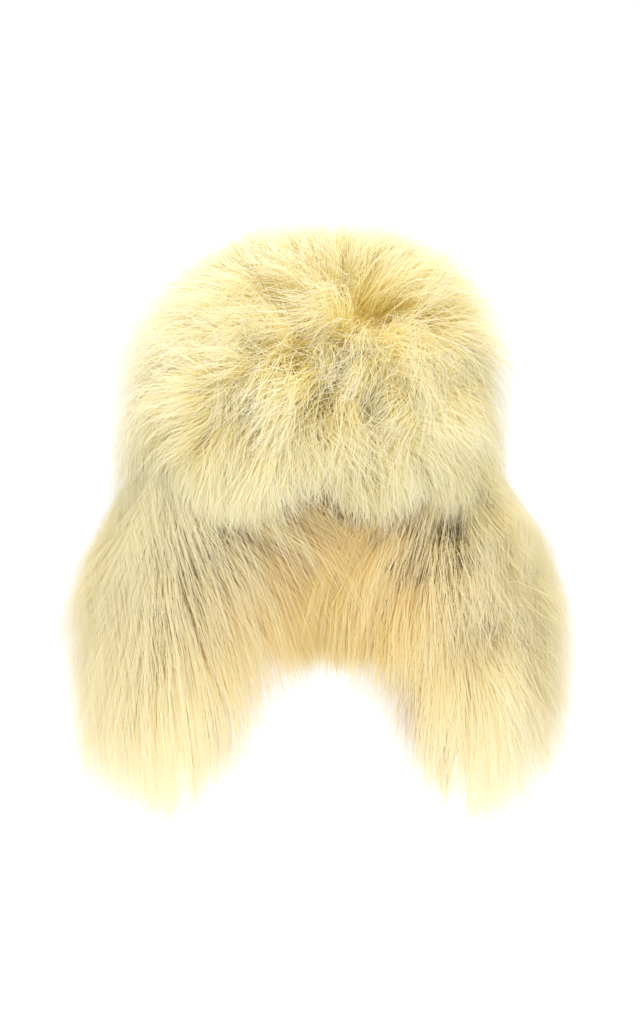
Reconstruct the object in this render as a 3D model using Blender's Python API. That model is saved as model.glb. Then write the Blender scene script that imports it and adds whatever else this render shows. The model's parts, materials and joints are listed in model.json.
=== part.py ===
"""A shaggy fur ushanka, as a head holds it, with its ear flaps hanging.

Each part of the hat is a cloth wall, and its deep fur is a second piece: locks fused to a thick
bed of fur that lies on the wall. Metres, +Z up. The face looks along -Y, and +X is on the right
seen from in front. The origin is the middle of the head opening, at the height of the brow seam.
An angle round the hat counts from the front, 0, towards +X, 90, to the nape, 180. A depth counts
outwards from a wall, and a drop counts downwards from the brow seam.
"""

import math
import random

import bmesh
import bpy
from mathutils import Vector

# The head opening and the crown's hollow
HEAD_WIDTH = 0.160
HEAD_LENGTH = 0.196
CROWN_DEPTH = 0.136
CROWN_SQUARENESS = 3.8

# Cloth, and the clearance between pieces
CLOTH = 0.003
GAP = 0.0003

# The crown's fur: its bed, and how far its locks stand off the cloth. Roots lie inside the bed
CROWN_BED = 0.031
CROWN_FUR = 0.048
ROOT_COVER = 0.011

# The turned-up front flap, its fur, and the hair that falls over the brow
FRONT_HEIGHT = 0.104
FRONT_ANGLE = 50.0
FRONT_LEAN = 0.016
FRONT_BED = 0.032
FRONT_FUR = 0.044
FRONT_BED_MARGIN = 0.020
FRONT_ROOM_ANGLE = 60.0
BROW_ANGLE = 44.0
BROW_DROP = 0.024
ROOM_TOP = 0.175
ROOM_DEPTH = 0.110

# The ear flaps: the angles of their front and rear edges at each drop
EAR_OUTLINE = (
    {"drop": 0.000, "front": 41.0, "rear": 124.0},
    {"drop": 0.040, "front": 42.0, "rear": 124.0},
    {"drop": 0.080, "front": 45.0, "rear": 119.0},
    {"drop": 0.110, "front": 50.0, "rear": 112.0},
    {"drop": 0.135, "front": 57.0, "rear": 104.0},
    {"drop": 0.153, "front": 65.0, "rear": 96.0},
    {"drop": 0.165, "front": 75.0, "rear": 86.0},
)
FLARE = 0.033
FLARE_SPAN = 0.190
FLARE_ANGLE = 75.0
EAR_BED = 0.036
EAR_FUR = 0.050
EAR_INNER_BED = 0.026
EAR_INNER_FUR = 0.038
EAR_FRONT_MARGIN = 0.034
EAR_REAR_MARGIN = 0.012
EAR_LOWER_MARGIN = 0.022

# The neck flap, between the ear flaps' rear edges
NECK_DROP = 0.078
SEAM_ANGLE = 124.0
NECK_BED = 0.032
NECK_FUR = 0.044
NECK_INNER_BED = 0.018
NECK_INNER_FUR = 0.028
NECK_BED_MARGIN = 0.020

# A lock of fur, with its sections from root to tip as shares of its length, rise and width
LOCK_LENGTH = 0.060
LOCK_WIDTH = 0.034
LOCK_THICKNESS = 0.020
LOCK_SECTIONS = (
    {"along": 0.00, "rise": 0.00, "width": 0.75},
    {"along": 0.28, "rise": 0.74, "width": 1.00},
    {"along": 0.70, "rise": 1.00, "width": 0.66},
    {"along": 1.00, "rise": 0.92, "width": 0.00},
)

# The guide blocks reach past the whole hat
BLOCK_REACH = 0.26
BLOCK = ((-0.26, -0.26), (0.26, -0.26), (0.26, 0.26), (-0.26, 0.26))

FUR_COLOUR = (0.84, 0.71, 0.40, 1.0)
CLOTH_COLOUR = (0.78, 0.66, 0.40, 1.0)
DOWN = Vector((0, 0, -1))
UP = Vector((0, 0, 1))


def clear_scene():
    for obj in list(bpy.data.objects):
        bpy.data.objects.remove(obj)


def material(name, colour, roughness):
    made = bpy.data.materials.new(name)
    made.use_nodes = True
    shader = made.node_tree.nodes["Principled BSDF"]
    shader.inputs["Base Color"].default_value = colour
    shader.inputs["Roughness"].default_value = roughness
    shader.inputs["Metallic"].default_value = 0.0
    return made


def new_object(name, bm, finish=None, sharp_angle=50.0):
    mesh = bpy.data.meshes.new(name)
    bmesh.ops.recalc_face_normals(bm, faces=bm.faces)
    bm.to_mesh(mesh)
    bm.free()
    mesh.shade_smooth()
    mesh.set_sharp_from_angle(angle=math.radians(sharp_angle))
    obj = bpy.data.objects.new(name, mesh)
    bpy.context.scene.collection.objects.link(obj)
    if finish:
        mesh.materials.append(finish)
    return obj


def combine(obj, other, operation):
    """Joins, cuts or crops obj with other, which stays as a guide and isn't a piece."""
    other.hide_render = True
    other.display_type = "WIRE"
    modifier = obj.modifiers.new(other.name, "BOOLEAN")
    modifier.operation = operation
    modifier.solver = "EXACT"
    modifier.use_self = operation == "UNION"
    modifier.object = other


# The hat's surfaces


def rim_normal(angle):
    turn = math.radians(angle)
    a, b = HEAD_WIDTH / 2, HEAD_LENGTH / 2
    return Vector((math.sin(turn) / a, -math.cos(turn) / b, 0)).normalized()


def rim_point(angle, depth, height=0.0):
    turn = math.radians(angle)
    a, b = HEAD_WIDTH / 2, HEAD_LENGTH / 2
    return Vector((a * math.sin(turn), -b * math.cos(turn), height)) + rim_normal(angle) * depth


def rim_direction(angle):
    """The way that the angle grows, level and along the rim."""
    return UP.cross(rim_normal(angle))


def degrees_for(length):
    """The angle that covers at least a short length on the rim."""
    return math.degrees(length / (HEAD_WIDTH / 2))


def crown_base(angle, rise):
    """A point on the inside of the crown. Rise goes from 0 at the rim to 90 at the top."""
    turn, lift = math.radians(angle), math.radians(rise)
    reach = max(math.cos(lift), 0.0) ** (2 / CROWN_SQUARENESS)
    up = math.sin(lift) ** (2 / CROWN_SQUARENESS)
    x = HEAD_WIDTH / 2 * reach * math.sin(turn)
    y = -HEAD_LENGTH / 2 * reach * math.cos(turn)
    return Vector((x, y, CROWN_DEPTH * up))


def crown_normal(angle, rise):
    """The dome's outward normal, from the slope of its formula."""
    point = crown_base(angle, rise)
    a, b = HEAD_WIDTH / 2, HEAD_LENGTH / 2
    reach = math.hypot(point.x / a, point.y / b)
    if reach < 1e-4:
        return UP.copy()
    side = reach ** (CROWN_SQUARENESS - 2)
    up = (point.z / CROWN_DEPTH) ** (CROWN_SQUARENESS - 1) / CROWN_DEPTH
    return Vector((side * point.x / a**2, side * point.y / b**2, up)).normalized()


def crown_point(angle, rise, depth):
    return crown_base(angle, rise) + crown_normal(angle, rise) * depth


def front_point(angle, height, depth):
    """A point of the front flap, whose depth counts from the back of its cloth."""
    share = min(max(height / FRONT_HEIGHT, 0.0), 1.15)
    return rim_point(angle, CLOTH + 2 * GAP + FRONT_LEAN * share + depth, height)


def hanging_point(angle, drop, depth):
    """A point of the ear flaps or neck flap, whose depth counts from the middle of the cloth."""
    from_front = min(abs(angle), 360 - abs(angle))
    facing = max(math.cos(math.radians(from_front - FLARE_ANGLE)), 0.0)
    flare = FLARE * facing * math.sin(math.pi * max(drop, 0.0) / FLARE_SPAN)
    return rim_point(angle, CLOTH / 2 + flare + depth, -drop)


# Mesh builders


def closed_mesh(rings):
    """A solid through rings of points. Every side splits the same way, so offset walls match."""
    bm = bmesh.new()
    made = [[bm.verts.new(p) for p in ring] for ring in rings]
    for lower, upper in zip(made, made[1:]):
        for j, vert in enumerate(lower):
            k = (j + 1) % len(lower)
            bm.faces.new((vert, lower[k], upper[k]))
            bm.faces.new((vert, upper[k], upper[j]))
    bm.faces.new(made[0])
    bm.faces.new(made[-1])
    return bm


def wall(grid_point, rows, edges, depths, columns=12):
    """A closed wall of a flap. Each row has a level, and edges tells its first and last angle."""
    rings = []
    for row in rows:
        start, end = edges(row)
        angles = [start + (end - start) * i / columns for i in range(columns + 1)]
        ring = [grid_point(a, row, depths[1]) for a in angles]
        ring += [grid_point(a, row, depths[0]) for a in reversed(angles)]
        rings.append(ring)
    return closed_mesh(rings)


def bed_ring(grid_point, level, start, end, inner, outer, points=16):
    """One level outline of a bed of fur, round at its edges."""
    ring = []
    for i in range(points):
        turn = 2 * math.pi * (i + 0.5) / points
        across, through = math.cos(turn), math.sin(turn)
        across = math.copysign(abs(across) ** 0.8, across)
        through = math.copysign(abs(through) ** 0.6, through)
        depth = outer * through if through > 0 else inner * -through
        ring.append(grid_point((start + end) / 2 + (end - start) / 2 * across, level, depth))
    return ring


def dome(outer, inner, angles, rises):
    """A hollow dome between two depths off the crown's inside, open at the rim."""
    bm = bmesh.new()
    rims = []
    for depth in (outer, inner):
        layer = [[bm.verts.new(crown_point(a, r, depth)) for a in angles] for r in rises]
        top = bm.verts.new(crown_point(0.0, 90.0, depth))
        rims.append(layer[0])
        for lower, upper in zip(layer, layer[1:]):
            for j, vert in enumerate(lower):
                k = (j + 1) % len(lower)
                bm.faces.new((vert, lower[k], upper[k], upper[j]))
        for j, vert in enumerate(layer[-1]):
            bm.faces.new((vert, layer[-1][(j + 1) % len(angles)], top))
    for j, vert in enumerate(rims[0]):
        k = (j + 1) % len(angles)
        bm.faces.new((vert, rims[0][k], rims[1][k], rims[1][j]))
    return bm


def prism(name, outline, low, high):
    """An upright block on a level outline of X and Y pairs."""
    rings = [[Vector((x, y, z)) for x, y in outline] for z in (low, high)]
    return new_object(name, closed_mesh(rings))


# Locks of fur


class Locks:
    """The locks of one piece of fur, gathered in one mesh with small differences between them."""

    def __init__(self, seed):
        self.bm = bmesh.new()
        self.chance = random.Random(seed)

    def add(self, root, out, flow, rise, length=LOCK_LENGTH, width=LOCK_WIDTH, droop=0.0):
        """One lock, which leaves its root along out, lies over along flow, and then droops."""
        vary = self.chance.uniform
        out = Vector(out).normalized()
        flow = Vector(flow).normalized()
        flow += flow.cross(out) * vary(-0.25, 0.25)
        flow = (flow - out * flow.dot(out)).normalized()
        length *= vary(0.88, 1.08)
        rise *= vary(0.86, 1.06)
        width *= vary(0.92, 1.10)
        side = flow.cross(out)
        spine = [
            root
            + flow * (length * s["along"])
            + out * (rise * s["rise"] - droop * s["along"] ** 2)
            for s in LOCK_SECTIONS
        ]
        rings = []
        for i, section in enumerate(LOCK_SECTIONS[:-1]):
            ahead = (spine[i + 1] - spine[max(i - 1, 0)]).normalized()
            across = side * (width / 2 * section["width"])
            through = side.cross(ahead) * (LOCK_THICKNESS / 2 * section["width"])
            corners = (across - through * 0.4, through, -across - through * 0.4)
            rings.append([self.bm.verts.new(spine[i] + corner) for corner in corners])
        tip = self.bm.verts.new(spine[-1])
        for lower, upper in zip(rings, rings[1:]):
            for j in range(3):
                k = (j + 1) % 3
                self.bm.faces.new((lower[j], lower[k], upper[k], upper[j]))
        for j in range(3):
            self.bm.faces.new((rings[-1][j], rings[-1][(j + 1) % 3], tip))
        self.bm.faces.new(rings[0][::-1])

    def finished(self, name):
        return new_object(name, self.bm)


def spread(start, end, count, shift=0.0):
    """Evenly spaced values between two ends, moved by a share of a step."""
    return [start + (end - start) * (i + 0.5 + shift) / count for i in range(count)]


# The crown


CROWN_ROWS = (
    {"rise": 2.5, "count": 9, "start": 58, "end": 302, "length": 0.066, "droop": 0.000},
    {"rise": 9, "count": 9, "start": 60, "end": 300, "length": 0.068, "droop": 0.000},
    {"rise": 22, "count": 9, "start": 52, "end": 308, "length": 0.066, "droop": 0.006},
    {"rise": 38, "count": 7, "start": 64, "end": 296, "length": 0.062, "droop": 0.020},
    {"rise": 53, "count": 8, "start": 0, "end": 360, "length": 0.062, "droop": 0.026},
    {"rise": 74, "count": 5, "start": 0, "end": 360, "length": 0.058, "droop": 0.014},
)
CROWN_LOCK_WIDTH = 0.042
DOME_ANGLES = [15 * i for i in range(24)]
DOME_RISES = (0, 8, 18, 31, 47, 68)


def build_crown(finish):
    return new_object("crown", dome(CLOTH, 0.0, DOME_ANGLES, DOME_RISES), finish)


def crown_locks():
    locks = Locks(seed=11)
    root_depth = CLOTH + CROWN_BED - ROOT_COVER
    for number, row in enumerate(CROWN_ROWS):
        shift = 0.25 * (-1) ** number
        for angle in spread(row["start"], row["end"], row["count"], shift):
            out = crown_normal(angle, row["rise"])
            down = crown_base(angle, row["rise"] * 0.9) - crown_base(angle, row["rise"])
            root = crown_point(angle, row["rise"], root_depth)
            rise = CROWN_FUR - CROWN_BED + ROOT_COVER
            locks.add(root, out, down, rise, row["length"], CROWN_LOCK_WIDTH, row["droop"])
    locks.add(crown_point(0, 90, root_depth), UP, (0.4, 1, 0), CROWN_FUR * 0.55, droop=0.012)
    return locks.finished("crown_locks")


def build_crown_fur(finish):
    bed = dome(CLOTH + GAP + CROWN_BED, CLOTH + GAP, DOME_ANGLES, DOME_RISES)
    fur = new_object("crown_fur", bed, finish)
    combine(fur, crown_locks(), "UNION")
    combine(fur, front_room("front_room_for_crown", GAP / 2), "DIFFERENCE")
    below = prism("below_crown", BLOCK, -BLOCK_REACH, GAP / 2)
    combine(fur, below, "DIFFERENCE")
    return fur


# The front flap


def front_room(name, margin):
    """The space of the front flap and its fur, from the back of the flap forwards."""
    side = degrees_for(margin)
    rows = (
        {"height": -BROW_DROP - margin, "half": BROW_ANGLE + side},
        {"height": -GAP - margin, "half": BROW_ANGLE + side},
        {"height": -margin, "half": FRONT_ROOM_ANGLE + side},
        {"height": FRONT_HEIGHT * 1.15, "half": FRONT_ROOM_ANGLE + side},
        {"height": ROOM_TOP + margin, "half": FRONT_ROOM_ANGLE + side},
    )
    rings = []
    for row in rows:
        angles = [row["half"] * (i / 8 - 1) for i in range(17)]
        ring = [front_point(a, row["height"], ROOM_DEPTH) for a in angles]
        ring += [front_point(a, row["height"], -1.5 * GAP - margin) for a in reversed(angles)]
        rings.append(ring)
    return new_object(name, closed_mesh(rings))


def front_top(angle):
    """The height of the flap's upper edge, which is round at its two ends."""
    share = min(abs(angle) / FRONT_ANGLE, 1.0)
    return FRONT_HEIGHT * (1 - (0.97 * share) ** 3.4) ** 0.4


def front_wall(low, margin, depths, columns=14, rows=2):
    """The flap's wall, or a slightly larger one. It is flat from top to bottom."""
    half = FRONT_ANGLE + degrees_for(margin)
    rings = []
    for i in range(columns + 1):
        angle = half * (2 * i / columns - 1)
        high = front_top(angle) + margin
        levels = [low + (high - low) * j / rows for j in range(rows + 1)]
        ring = [front_point(angle, level, depths[1]) for level in levels]
        ring += [front_point(angle, level, depths[0]) for level in reversed(levels)]
        rings.append(ring)
    return closed_mesh(rings)


def build_front_flap(finish):
    return new_object("front_flap", front_wall(GAP, 0.0, (0.0, CLOTH)), finish)


def front_locks():
    locks = Locks(seed=23)
    root_depth = CLOTH + FRONT_BED - ROOT_COVER
    rise = FRONT_FUR - FRONT_BED + ROOT_COVER
    rows = (
        {"level": 0.18, "count": 5, "half": 40, "rise": 0.72, "length": 0.040},
        {"level": 0.40, "count": 5, "half": 50, "rise": 0.90, "length": 0.054},
        {"level": 0.66, "count": 5, "half": 50, "rise": 1.00, "length": 0.060},
        {"level": 0.90, "count": 5, "half": 50, "rise": 0.95, "length": 0.062},
    )
    for number, row in enumerate(rows):
        shift = 0.2 * (-1) ** number
        for angle in spread(-row["half"], row["half"], row["count"], shift):
            flow = DOWN + rim_direction(angle) * angle / 90
            root = front_point(angle, row["level"] * front_top(angle), root_depth)
            locks.add(root, rim_normal(angle), flow, rise * row["rise"], row["length"])
    for angle in spread(-50, 50, 6):
        root = front_point(angle, front_top(angle) + 0.008, root_depth * 0.6)
        out = UP + rim_normal(angle)
        flow = rim_normal(angle) - UP + rim_direction(angle) * angle / 40
        locks.add(root, out, flow, FRONT_FUR * 0.6, LOCK_LENGTH * 0.8)
    return locks.finished("front_locks")


def front_bed():
    """The bed of fur over the flap, and over its upper edge."""
    half = FRONT_ANGLE + degrees_for(FRONT_BED_MARGIN)
    rings = []
    for i in range(15):
        share = 2 * (i + 0.15) / 14.3 - 1
        high = front_top(FRONT_ANGLE * share) + FRONT_BED_MARGIN
        thick = CLOTH + FRONT_BED * (1 - abs(share) ** 5) ** 0.5
        section = ((0.0, 1.0), (0.45, 1.05), (0.8, 0.95), (0.95, 0.66), (1.0, 0.2))
        ring = [front_point(half * share, GAP + (high - GAP) * u, thick * v) for u, v in section]
        ring += [front_point(half * share, GAP + (high - GAP) * u, 0.0) for u in (0.97, 0.0)]
        rings.append(ring)
    return closed_mesh(rings)


def build_front_flap_fur(finish):
    fur = new_object("front_flap_fur", front_bed(), finish)
    combine(fur, front_locks(), "UNION")
    core = front_wall(-0.03, 2 * GAP, (-0.02, CLOTH + GAP))
    combine(fur, new_object("front_flap_core", core), "DIFFERENCE")
    combine(fur, front_room("front_room_for_flap", -GAP / 2), "INTERSECT")
    return fur


# The ear flaps


def ear_edges(drop, margin=0.0):
    """An ear flap's front and rear angles at a drop, read between the rows of its outline."""
    last = EAR_OUTLINE[-1]
    front, rear = last["front"], last["rear"]
    for upper, lower in zip(EAR_OUTLINE, EAR_OUTLINE[1:]):
        if drop <= lower["drop"]:
            share = max(drop - upper["drop"], 0.0) / (lower["drop"] - upper["drop"])
            front = upper["front"] + (lower["front"] - upper["front"]) * share
            rear = upper["rear"] + (lower["rear"] - upper["rear"]) * share
            break
    return front - degrees_for(margin), rear + degrees_for(margin)


def mirrored(side, point):
    return Vector((point.x * side, point.y, point.z))


def build_ear_flap(name, side, finish):
    def point(angle, drop, depth):
        return mirrored(side, hanging_point(angle, drop, depth))

    def edges(drop):
        front, rear = ear_edges(drop)
        return front, min(rear, SEAM_ANGLE - degrees_for(GAP / 2))

    rows = [max(row["drop"], GAP) for row in EAR_OUTLINE]
    bm = wall(point, rows, edges, (-CLOTH / 2, CLOTH / 2), columns=8)
    return new_object(name, bm, finish)


EAR_ROWS = (
    {"drop": -0.004, "front": 46, "rear": 118, "outer": 4, "inner": 0, "fullness": 1.00},
    {"drop": 0.030, "front": 26, "rear": 118, "outer": 5, "inner": 2, "fullness": 1.00},
    {"drop": 0.062, "front": 30, "rear": 116, "outer": 5, "inner": 3, "fullness": 0.98},
    {"drop": 0.094, "front": 32, "rear": 110, "outer": 4, "inner": 2, "fullness": 0.90},
    {"drop": 0.126, "front": 42, "rear": 100, "outer": 4, "inner": 1, "fullness": 0.72},
)


def ear_locks(name, side, seed):
    locks = Locks(seed)

    def place(angle, drop, depth):
        return mirrored(side, hanging_point(angle, drop, depth))

    for number, row in enumerate(EAR_ROWS):
        shift = 0.22 * (-1) ** number
        for angle in spread(row["front"], row["rear"], row["outer"], shift):
            normal = mirrored(side, rim_normal(angle))
            forward = mirrored(side, -rim_direction(angle))
            lean = (90 - angle) / 90
            root = place(angle, row["drop"], EAR_BED * row["fullness"] - ROOT_COVER)
            rise = EAR_FUR - EAR_BED + ROOT_COVER
            locks.add(root, normal, DOWN + forward * lean * 0.4, rise)
        for angle in spread(row["front"] + 18, row["rear"], row["inner"], -shift):
            normal = mirrored(side, rim_normal(angle))
            forward = mirrored(side, -rim_direction(angle))
            root = place(angle, row["drop"], ROOT_COVER - EAR_INNER_BED * row["fullness"])
            rise = EAR_INNER_FUR - EAR_INNER_BED + ROOT_COVER
            locks.add(root, -normal, DOWN + forward * 0.3, rise, width=LOCK_WIDTH * 1.15)
    for drop, reach in ((0.018, 0.030), (0.046, 0.034), (0.074, 0.032), (0.104, 0.028)):
        margin = EAR_FRONT_MARGIN * (1 - 25 * drop**2) - ROOT_COVER
        angle = ear_edges(drop, margin)[0]
        inward = mirrored(side, -rim_direction(angle))
        locks.add(place(angle, drop, 0.0), inward, DOWN, reach, LOCK_LENGTH * 0.8)
    for angle, drop in ((62, 0.146), (80, 0.158), (98, 0.148)):
        normal = mirrored(side, rim_normal(angle))
        forward = mirrored(side, -rim_direction(angle))
        locks.add(place(angle, drop, 0.002), normal, DOWN + forward * (80 - angle) / 60, 0.012, 0.05)
    return locks.finished(name)


def build_ear_flap_fur(name, side, seed, finish):
    def point(angle, drop, depth):
        return mirrored(side, hanging_point(angle, drop, depth))

    bottom = EAR_OUTLINE[-1]["drop"] + EAR_LOWER_MARGIN
    rings = []
    for share in (0.0, 0.2, 0.4, 0.58, 0.74, 0.87, 0.96, 1.0):
        level = EAR_OUTLINE[-1]["drop"] * share
        front = ear_edges(level, EAR_FRONT_MARGIN * (1 - 0.6 * share**2))[0]
        rear = ear_edges(level, EAR_REAR_MARGIN)[1]
        full = (1 - share**5) ** 0.5
        inner, outer = EAR_INNER_BED * full + 0.003, EAR_BED * full + 0.003
        rings.append(bed_ring(point, bottom * share, front, rear, -inner, outer))
    fur = new_object(name, closed_mesh(rings), finish)
    combine(fur, ear_locks(f"{name}_locks", side, seed), "UNION")

    def cavity_edges(drop):
        return ear_edges(min(drop, EAR_OUTLINE[-1]["drop"]), 2 * GAP)

    rows = [-0.02] + [row["drop"] for row in EAR_OUTLINE]
    rows[-1] += GAP
    depth = CLOTH / 2 + GAP
    core = wall(point, rows, cavity_edges, (-depth, depth), columns=8)
    combine(fur, new_object(f"{name}_core", core), "DIFFERENCE")
    combine(fur, front_room(f"front_room_for_{name}", GAP / 2), "DIFFERENCE")
    room = [(side * x, y) for x, y in ear_room()]
    combine(fur, prism(f"room_of_{name}", room, -BLOCK_REACH, -GAP / 2), "INTERSECT")
    return fur


def seam_ends(margin):
    """The two ends of the upright plane between the right ear flap and the neck flap."""
    middle = rim_point(SEAM_ANGLE, CLOTH / 2) + rim_direction(SEAM_ANGLE) * margin
    normal = rim_normal(SEAM_ANGLE)
    inner = middle - normal * ((middle.x - GAP) / normal.x)
    outer = middle + normal * ((BLOCK_REACH - middle.x) / normal.x)
    return (inner.x, inner.y), (outer.x, outer.y)


def ear_room():
    """The outline of the space that the right ear flap's fur may fill."""
    inner, outer = seam_ends(-GAP / 2)
    return [(GAP, -BLOCK_REACH), (BLOCK_REACH, -BLOCK_REACH), outer, inner]


def neck_room():
    """The outline of the space that the neck flap's fur may fill."""
    inner, outer = seam_ends(GAP / 2)
    left = [(-inner[0], inner[1]), (-outer[0], outer[1])]
    back = [(-BLOCK_REACH, BLOCK_REACH), (BLOCK_REACH, BLOCK_REACH)]
    return [inner] + left + back + [outer]


# The neck flap


NECK_LEVELS = (0.0, 0.35, 0.62, 0.82, 0.94, 1.0)


def neck_edges(drop, margin=0.0):
    """The neck flap's two edges at a drop, straight above and round at the lower corners."""
    share = min(max(drop / NECK_DROP, 0.0), 1.0)
    half = (180 - SEAM_ANGLE) * (1 - 0.3 * share**6) + degrees_for(margin)
    return 180 - half, 180 + half


def build_neck_flap(finish):
    def edges(drop):
        start, end = neck_edges(drop)
        return start + degrees_for(GAP / 2), end - degrees_for(GAP / 2)

    rows = [GAP + (NECK_DROP - GAP) * level for level in NECK_LEVELS]
    bm = wall(hanging_point, rows, edges, (-CLOTH / 2, CLOTH / 2))
    return new_object("neck_flap", bm, finish)


def neck_locks():
    locks = Locks(seed=71)
    rows = (
        {"drop": -0.004, "outer": 5, "inner": 0, "fullness": 1.0},
        {"drop": 0.030, "outer": 4, "inner": 4, "fullness": 0.95},
        {"drop": 0.064, "outer": 4, "inner": 3, "fullness": 0.72},
    )
    ends = SEAM_ANGLE + 3, 357 - SEAM_ANGLE
    for number, row in enumerate(rows):
        shift = 0.2 * (-1) ** number
        for angle in spread(*ends, row["outer"], shift):
            root = hanging_point(angle, row["drop"], NECK_BED * row["fullness"] - ROOT_COVER)
            locks.add(root, rim_normal(angle), DOWN, NECK_FUR - NECK_BED + ROOT_COVER)
        for angle in spread(*ends, row["inner"], -shift):
            depth = ROOT_COVER - NECK_INNER_BED * row["fullness"]
            root = hanging_point(angle, row["drop"], depth)
            rise = NECK_INNER_FUR - NECK_INNER_BED + ROOT_COVER
            locks.add(root, -rim_normal(angle), DOWN, rise, LOCK_LENGTH * 0.8)
    return locks.finished("neck_locks")


def build_neck_flap_fur(finish):
    bottom = NECK_DROP + NECK_BED_MARGIN
    rings = []
    for share in (0.0, 0.3, 0.55, 0.75, 0.9, 1.0):
        start, end = neck_edges(NECK_DROP * share, NECK_BED_MARGIN)
        full = (1 - share**4) ** 0.5
        inner, outer = NECK_INNER_BED * full + 0.003, NECK_BED * full + 0.003
        rings.append(bed_ring(hanging_point, bottom * share, start, end, -inner, outer))
    fur = new_object("neck_flap_fur", closed_mesh(rings), finish)
    combine(fur, neck_locks(), "UNION")

    def cavity_edges(drop):
        return neck_edges(min(drop, NECK_DROP), 2 * GAP)

    rows = [-0.02] + [NECK_DROP * level for level in NECK_LEVELS]
    rows[-1] += GAP
    depth = CLOTH / 2 + GAP
    core = wall(hanging_point, rows, cavity_edges, (-depth, depth))
    combine(fur, new_object("neck_core", core), "DIFFERENCE")
    combine(fur, prism("room_of_neck", neck_room(), -BLOCK_REACH, -GAP / 2), "INTERSECT")
    return fur


def main():
    clear_scene()
    build_crown(material("crown_cloth", CLOTH_COLOUR, 0.9))
    build_crown_fur(material("crown_pile", FUR_COLOUR, 0.85))
    build_front_flap(material("front_flap_cloth", CLOTH_COLOUR, 0.9))
    build_front_flap_fur(material("front_flap_pile", FUR_COLOUR, 0.85))
    for word, side, seed in (("left", -1, 37), ("right", 1, 53)):
        name = f"ear_flap_{word}"
        build_ear_flap(name, side, material(f"{name}_cloth", CLOTH_COLOUR, 0.9))
        build_ear_flap_fur(
            f"{name}_fur", side, seed, material(f"{name}_pile", FUR_COLOUR, 0.85)
        )
    build_neck_flap(material("neck_flap_cloth", CLOTH_COLOUR, 0.9))
    build_neck_flap_fur(material("neck_flap_pile", FUR_COLOUR, 0.85))


main()
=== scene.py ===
"""The looks of a shaggy fur ushanka: five coats of long hair on a hat of woven backing cloth.

Metres, +Z up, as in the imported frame. The face looks along -Y, and +X is on the right seen from
in front. An angle round the hat counts from the front, 0, towards +X, 90, to the nape, 180.

Each coat grows from a skin, which is a mesh on the cloth that carries how the hair leaves and
lies at each of its corners. One Geometry Nodes tree scatters the strands on a skin, gathers them
in tufts and locks, and shapes them.
"""

import json
import logging
import math
from dataclasses import dataclass, field, replace
from enum import Enum
from typing import Any, Callable, Sequence

import bpy
from mathutils import Matrix, Vector, noise

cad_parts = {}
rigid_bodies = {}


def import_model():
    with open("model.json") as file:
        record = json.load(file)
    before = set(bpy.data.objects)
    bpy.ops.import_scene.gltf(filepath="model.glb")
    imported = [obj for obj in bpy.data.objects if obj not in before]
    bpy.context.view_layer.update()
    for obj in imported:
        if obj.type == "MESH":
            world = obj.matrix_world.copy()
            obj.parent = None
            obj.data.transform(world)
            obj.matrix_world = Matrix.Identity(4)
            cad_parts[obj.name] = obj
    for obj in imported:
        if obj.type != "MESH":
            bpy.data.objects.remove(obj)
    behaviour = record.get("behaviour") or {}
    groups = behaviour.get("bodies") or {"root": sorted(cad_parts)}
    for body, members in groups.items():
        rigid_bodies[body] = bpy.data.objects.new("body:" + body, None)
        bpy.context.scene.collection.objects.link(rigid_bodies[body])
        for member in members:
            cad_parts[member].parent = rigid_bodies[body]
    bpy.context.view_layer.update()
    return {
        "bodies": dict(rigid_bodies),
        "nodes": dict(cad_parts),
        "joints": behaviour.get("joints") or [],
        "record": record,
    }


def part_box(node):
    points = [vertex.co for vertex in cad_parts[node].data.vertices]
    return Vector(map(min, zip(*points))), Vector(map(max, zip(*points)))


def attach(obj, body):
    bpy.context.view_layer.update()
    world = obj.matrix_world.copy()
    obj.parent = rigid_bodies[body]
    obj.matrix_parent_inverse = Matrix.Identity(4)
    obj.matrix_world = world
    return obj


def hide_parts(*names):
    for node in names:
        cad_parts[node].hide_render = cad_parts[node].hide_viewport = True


log = logging.getLogger("ushanka")

# A screen's colour, from 0 to 255, and what goes into a node: a socket or a plain value
Colour = tuple[float, float, float]
Value = Any

UP = Vector((0, 0, 1))
DOWN = Vector((0, 0, -1))
# The way that the hair lies over the top of the crown
BACK = Vector((0.15, 1, 0))
# The middle of the whorl, over the right end of the front flap
WHORL = Vector((0.036, -0.095, 0.122))
# The way from the right ear flap towards the middle of the face
FACE_MIDDLE = Vector((-1.0, -0.12, 0))

STRAND_MAP = "OFBake"
# The cloth's thickness, and the gap that stands in for a seam
CLOTH = 0.003
SEAM_GAP = 0.0003
# The radius that turns a flap's angles into distances
FLAP_RADIUS = 0.105
# The lowest roots of the front flap, and the highest ones of a hanging flap
LOWEST = 0.001
LEAST_DROP = 0.0005
# The shares of a rise, and the small steps, between which the cloth's directions are measured
JUST_BELOW = 0.96
JUST_ABOVE = 1.01
STEP_ANGLE = 0.5
STEP_DROP = 0.001
# Where hair grows thinner than this, no tuft or lock has its middle
BARE_SHARE = 0.02
# Nearer the crown's middle than this share of its reach, its normal is straight up
AT_TOP = 1e-4
SKIN_WAYS = ("out", "flow")
SKIN_NUMBERS = ("rise", "length", "fall", "share", "gather", "wild", "tone")


class Side(Enum):
    """The side of the hat, seen from in front, and the sign of its X."""

    LEFT = -1
    RIGHT = 1


class Face(Enum):
    """The face of a hanging flap, and the way that its hair leaves it."""

    OUTER = 1
    INNER = -1


def clamp(value: float, low: float = 0.0, high: float = 1.0) -> float:
    """A value held between two limits."""
    return min(max(value, low), high)


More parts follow.
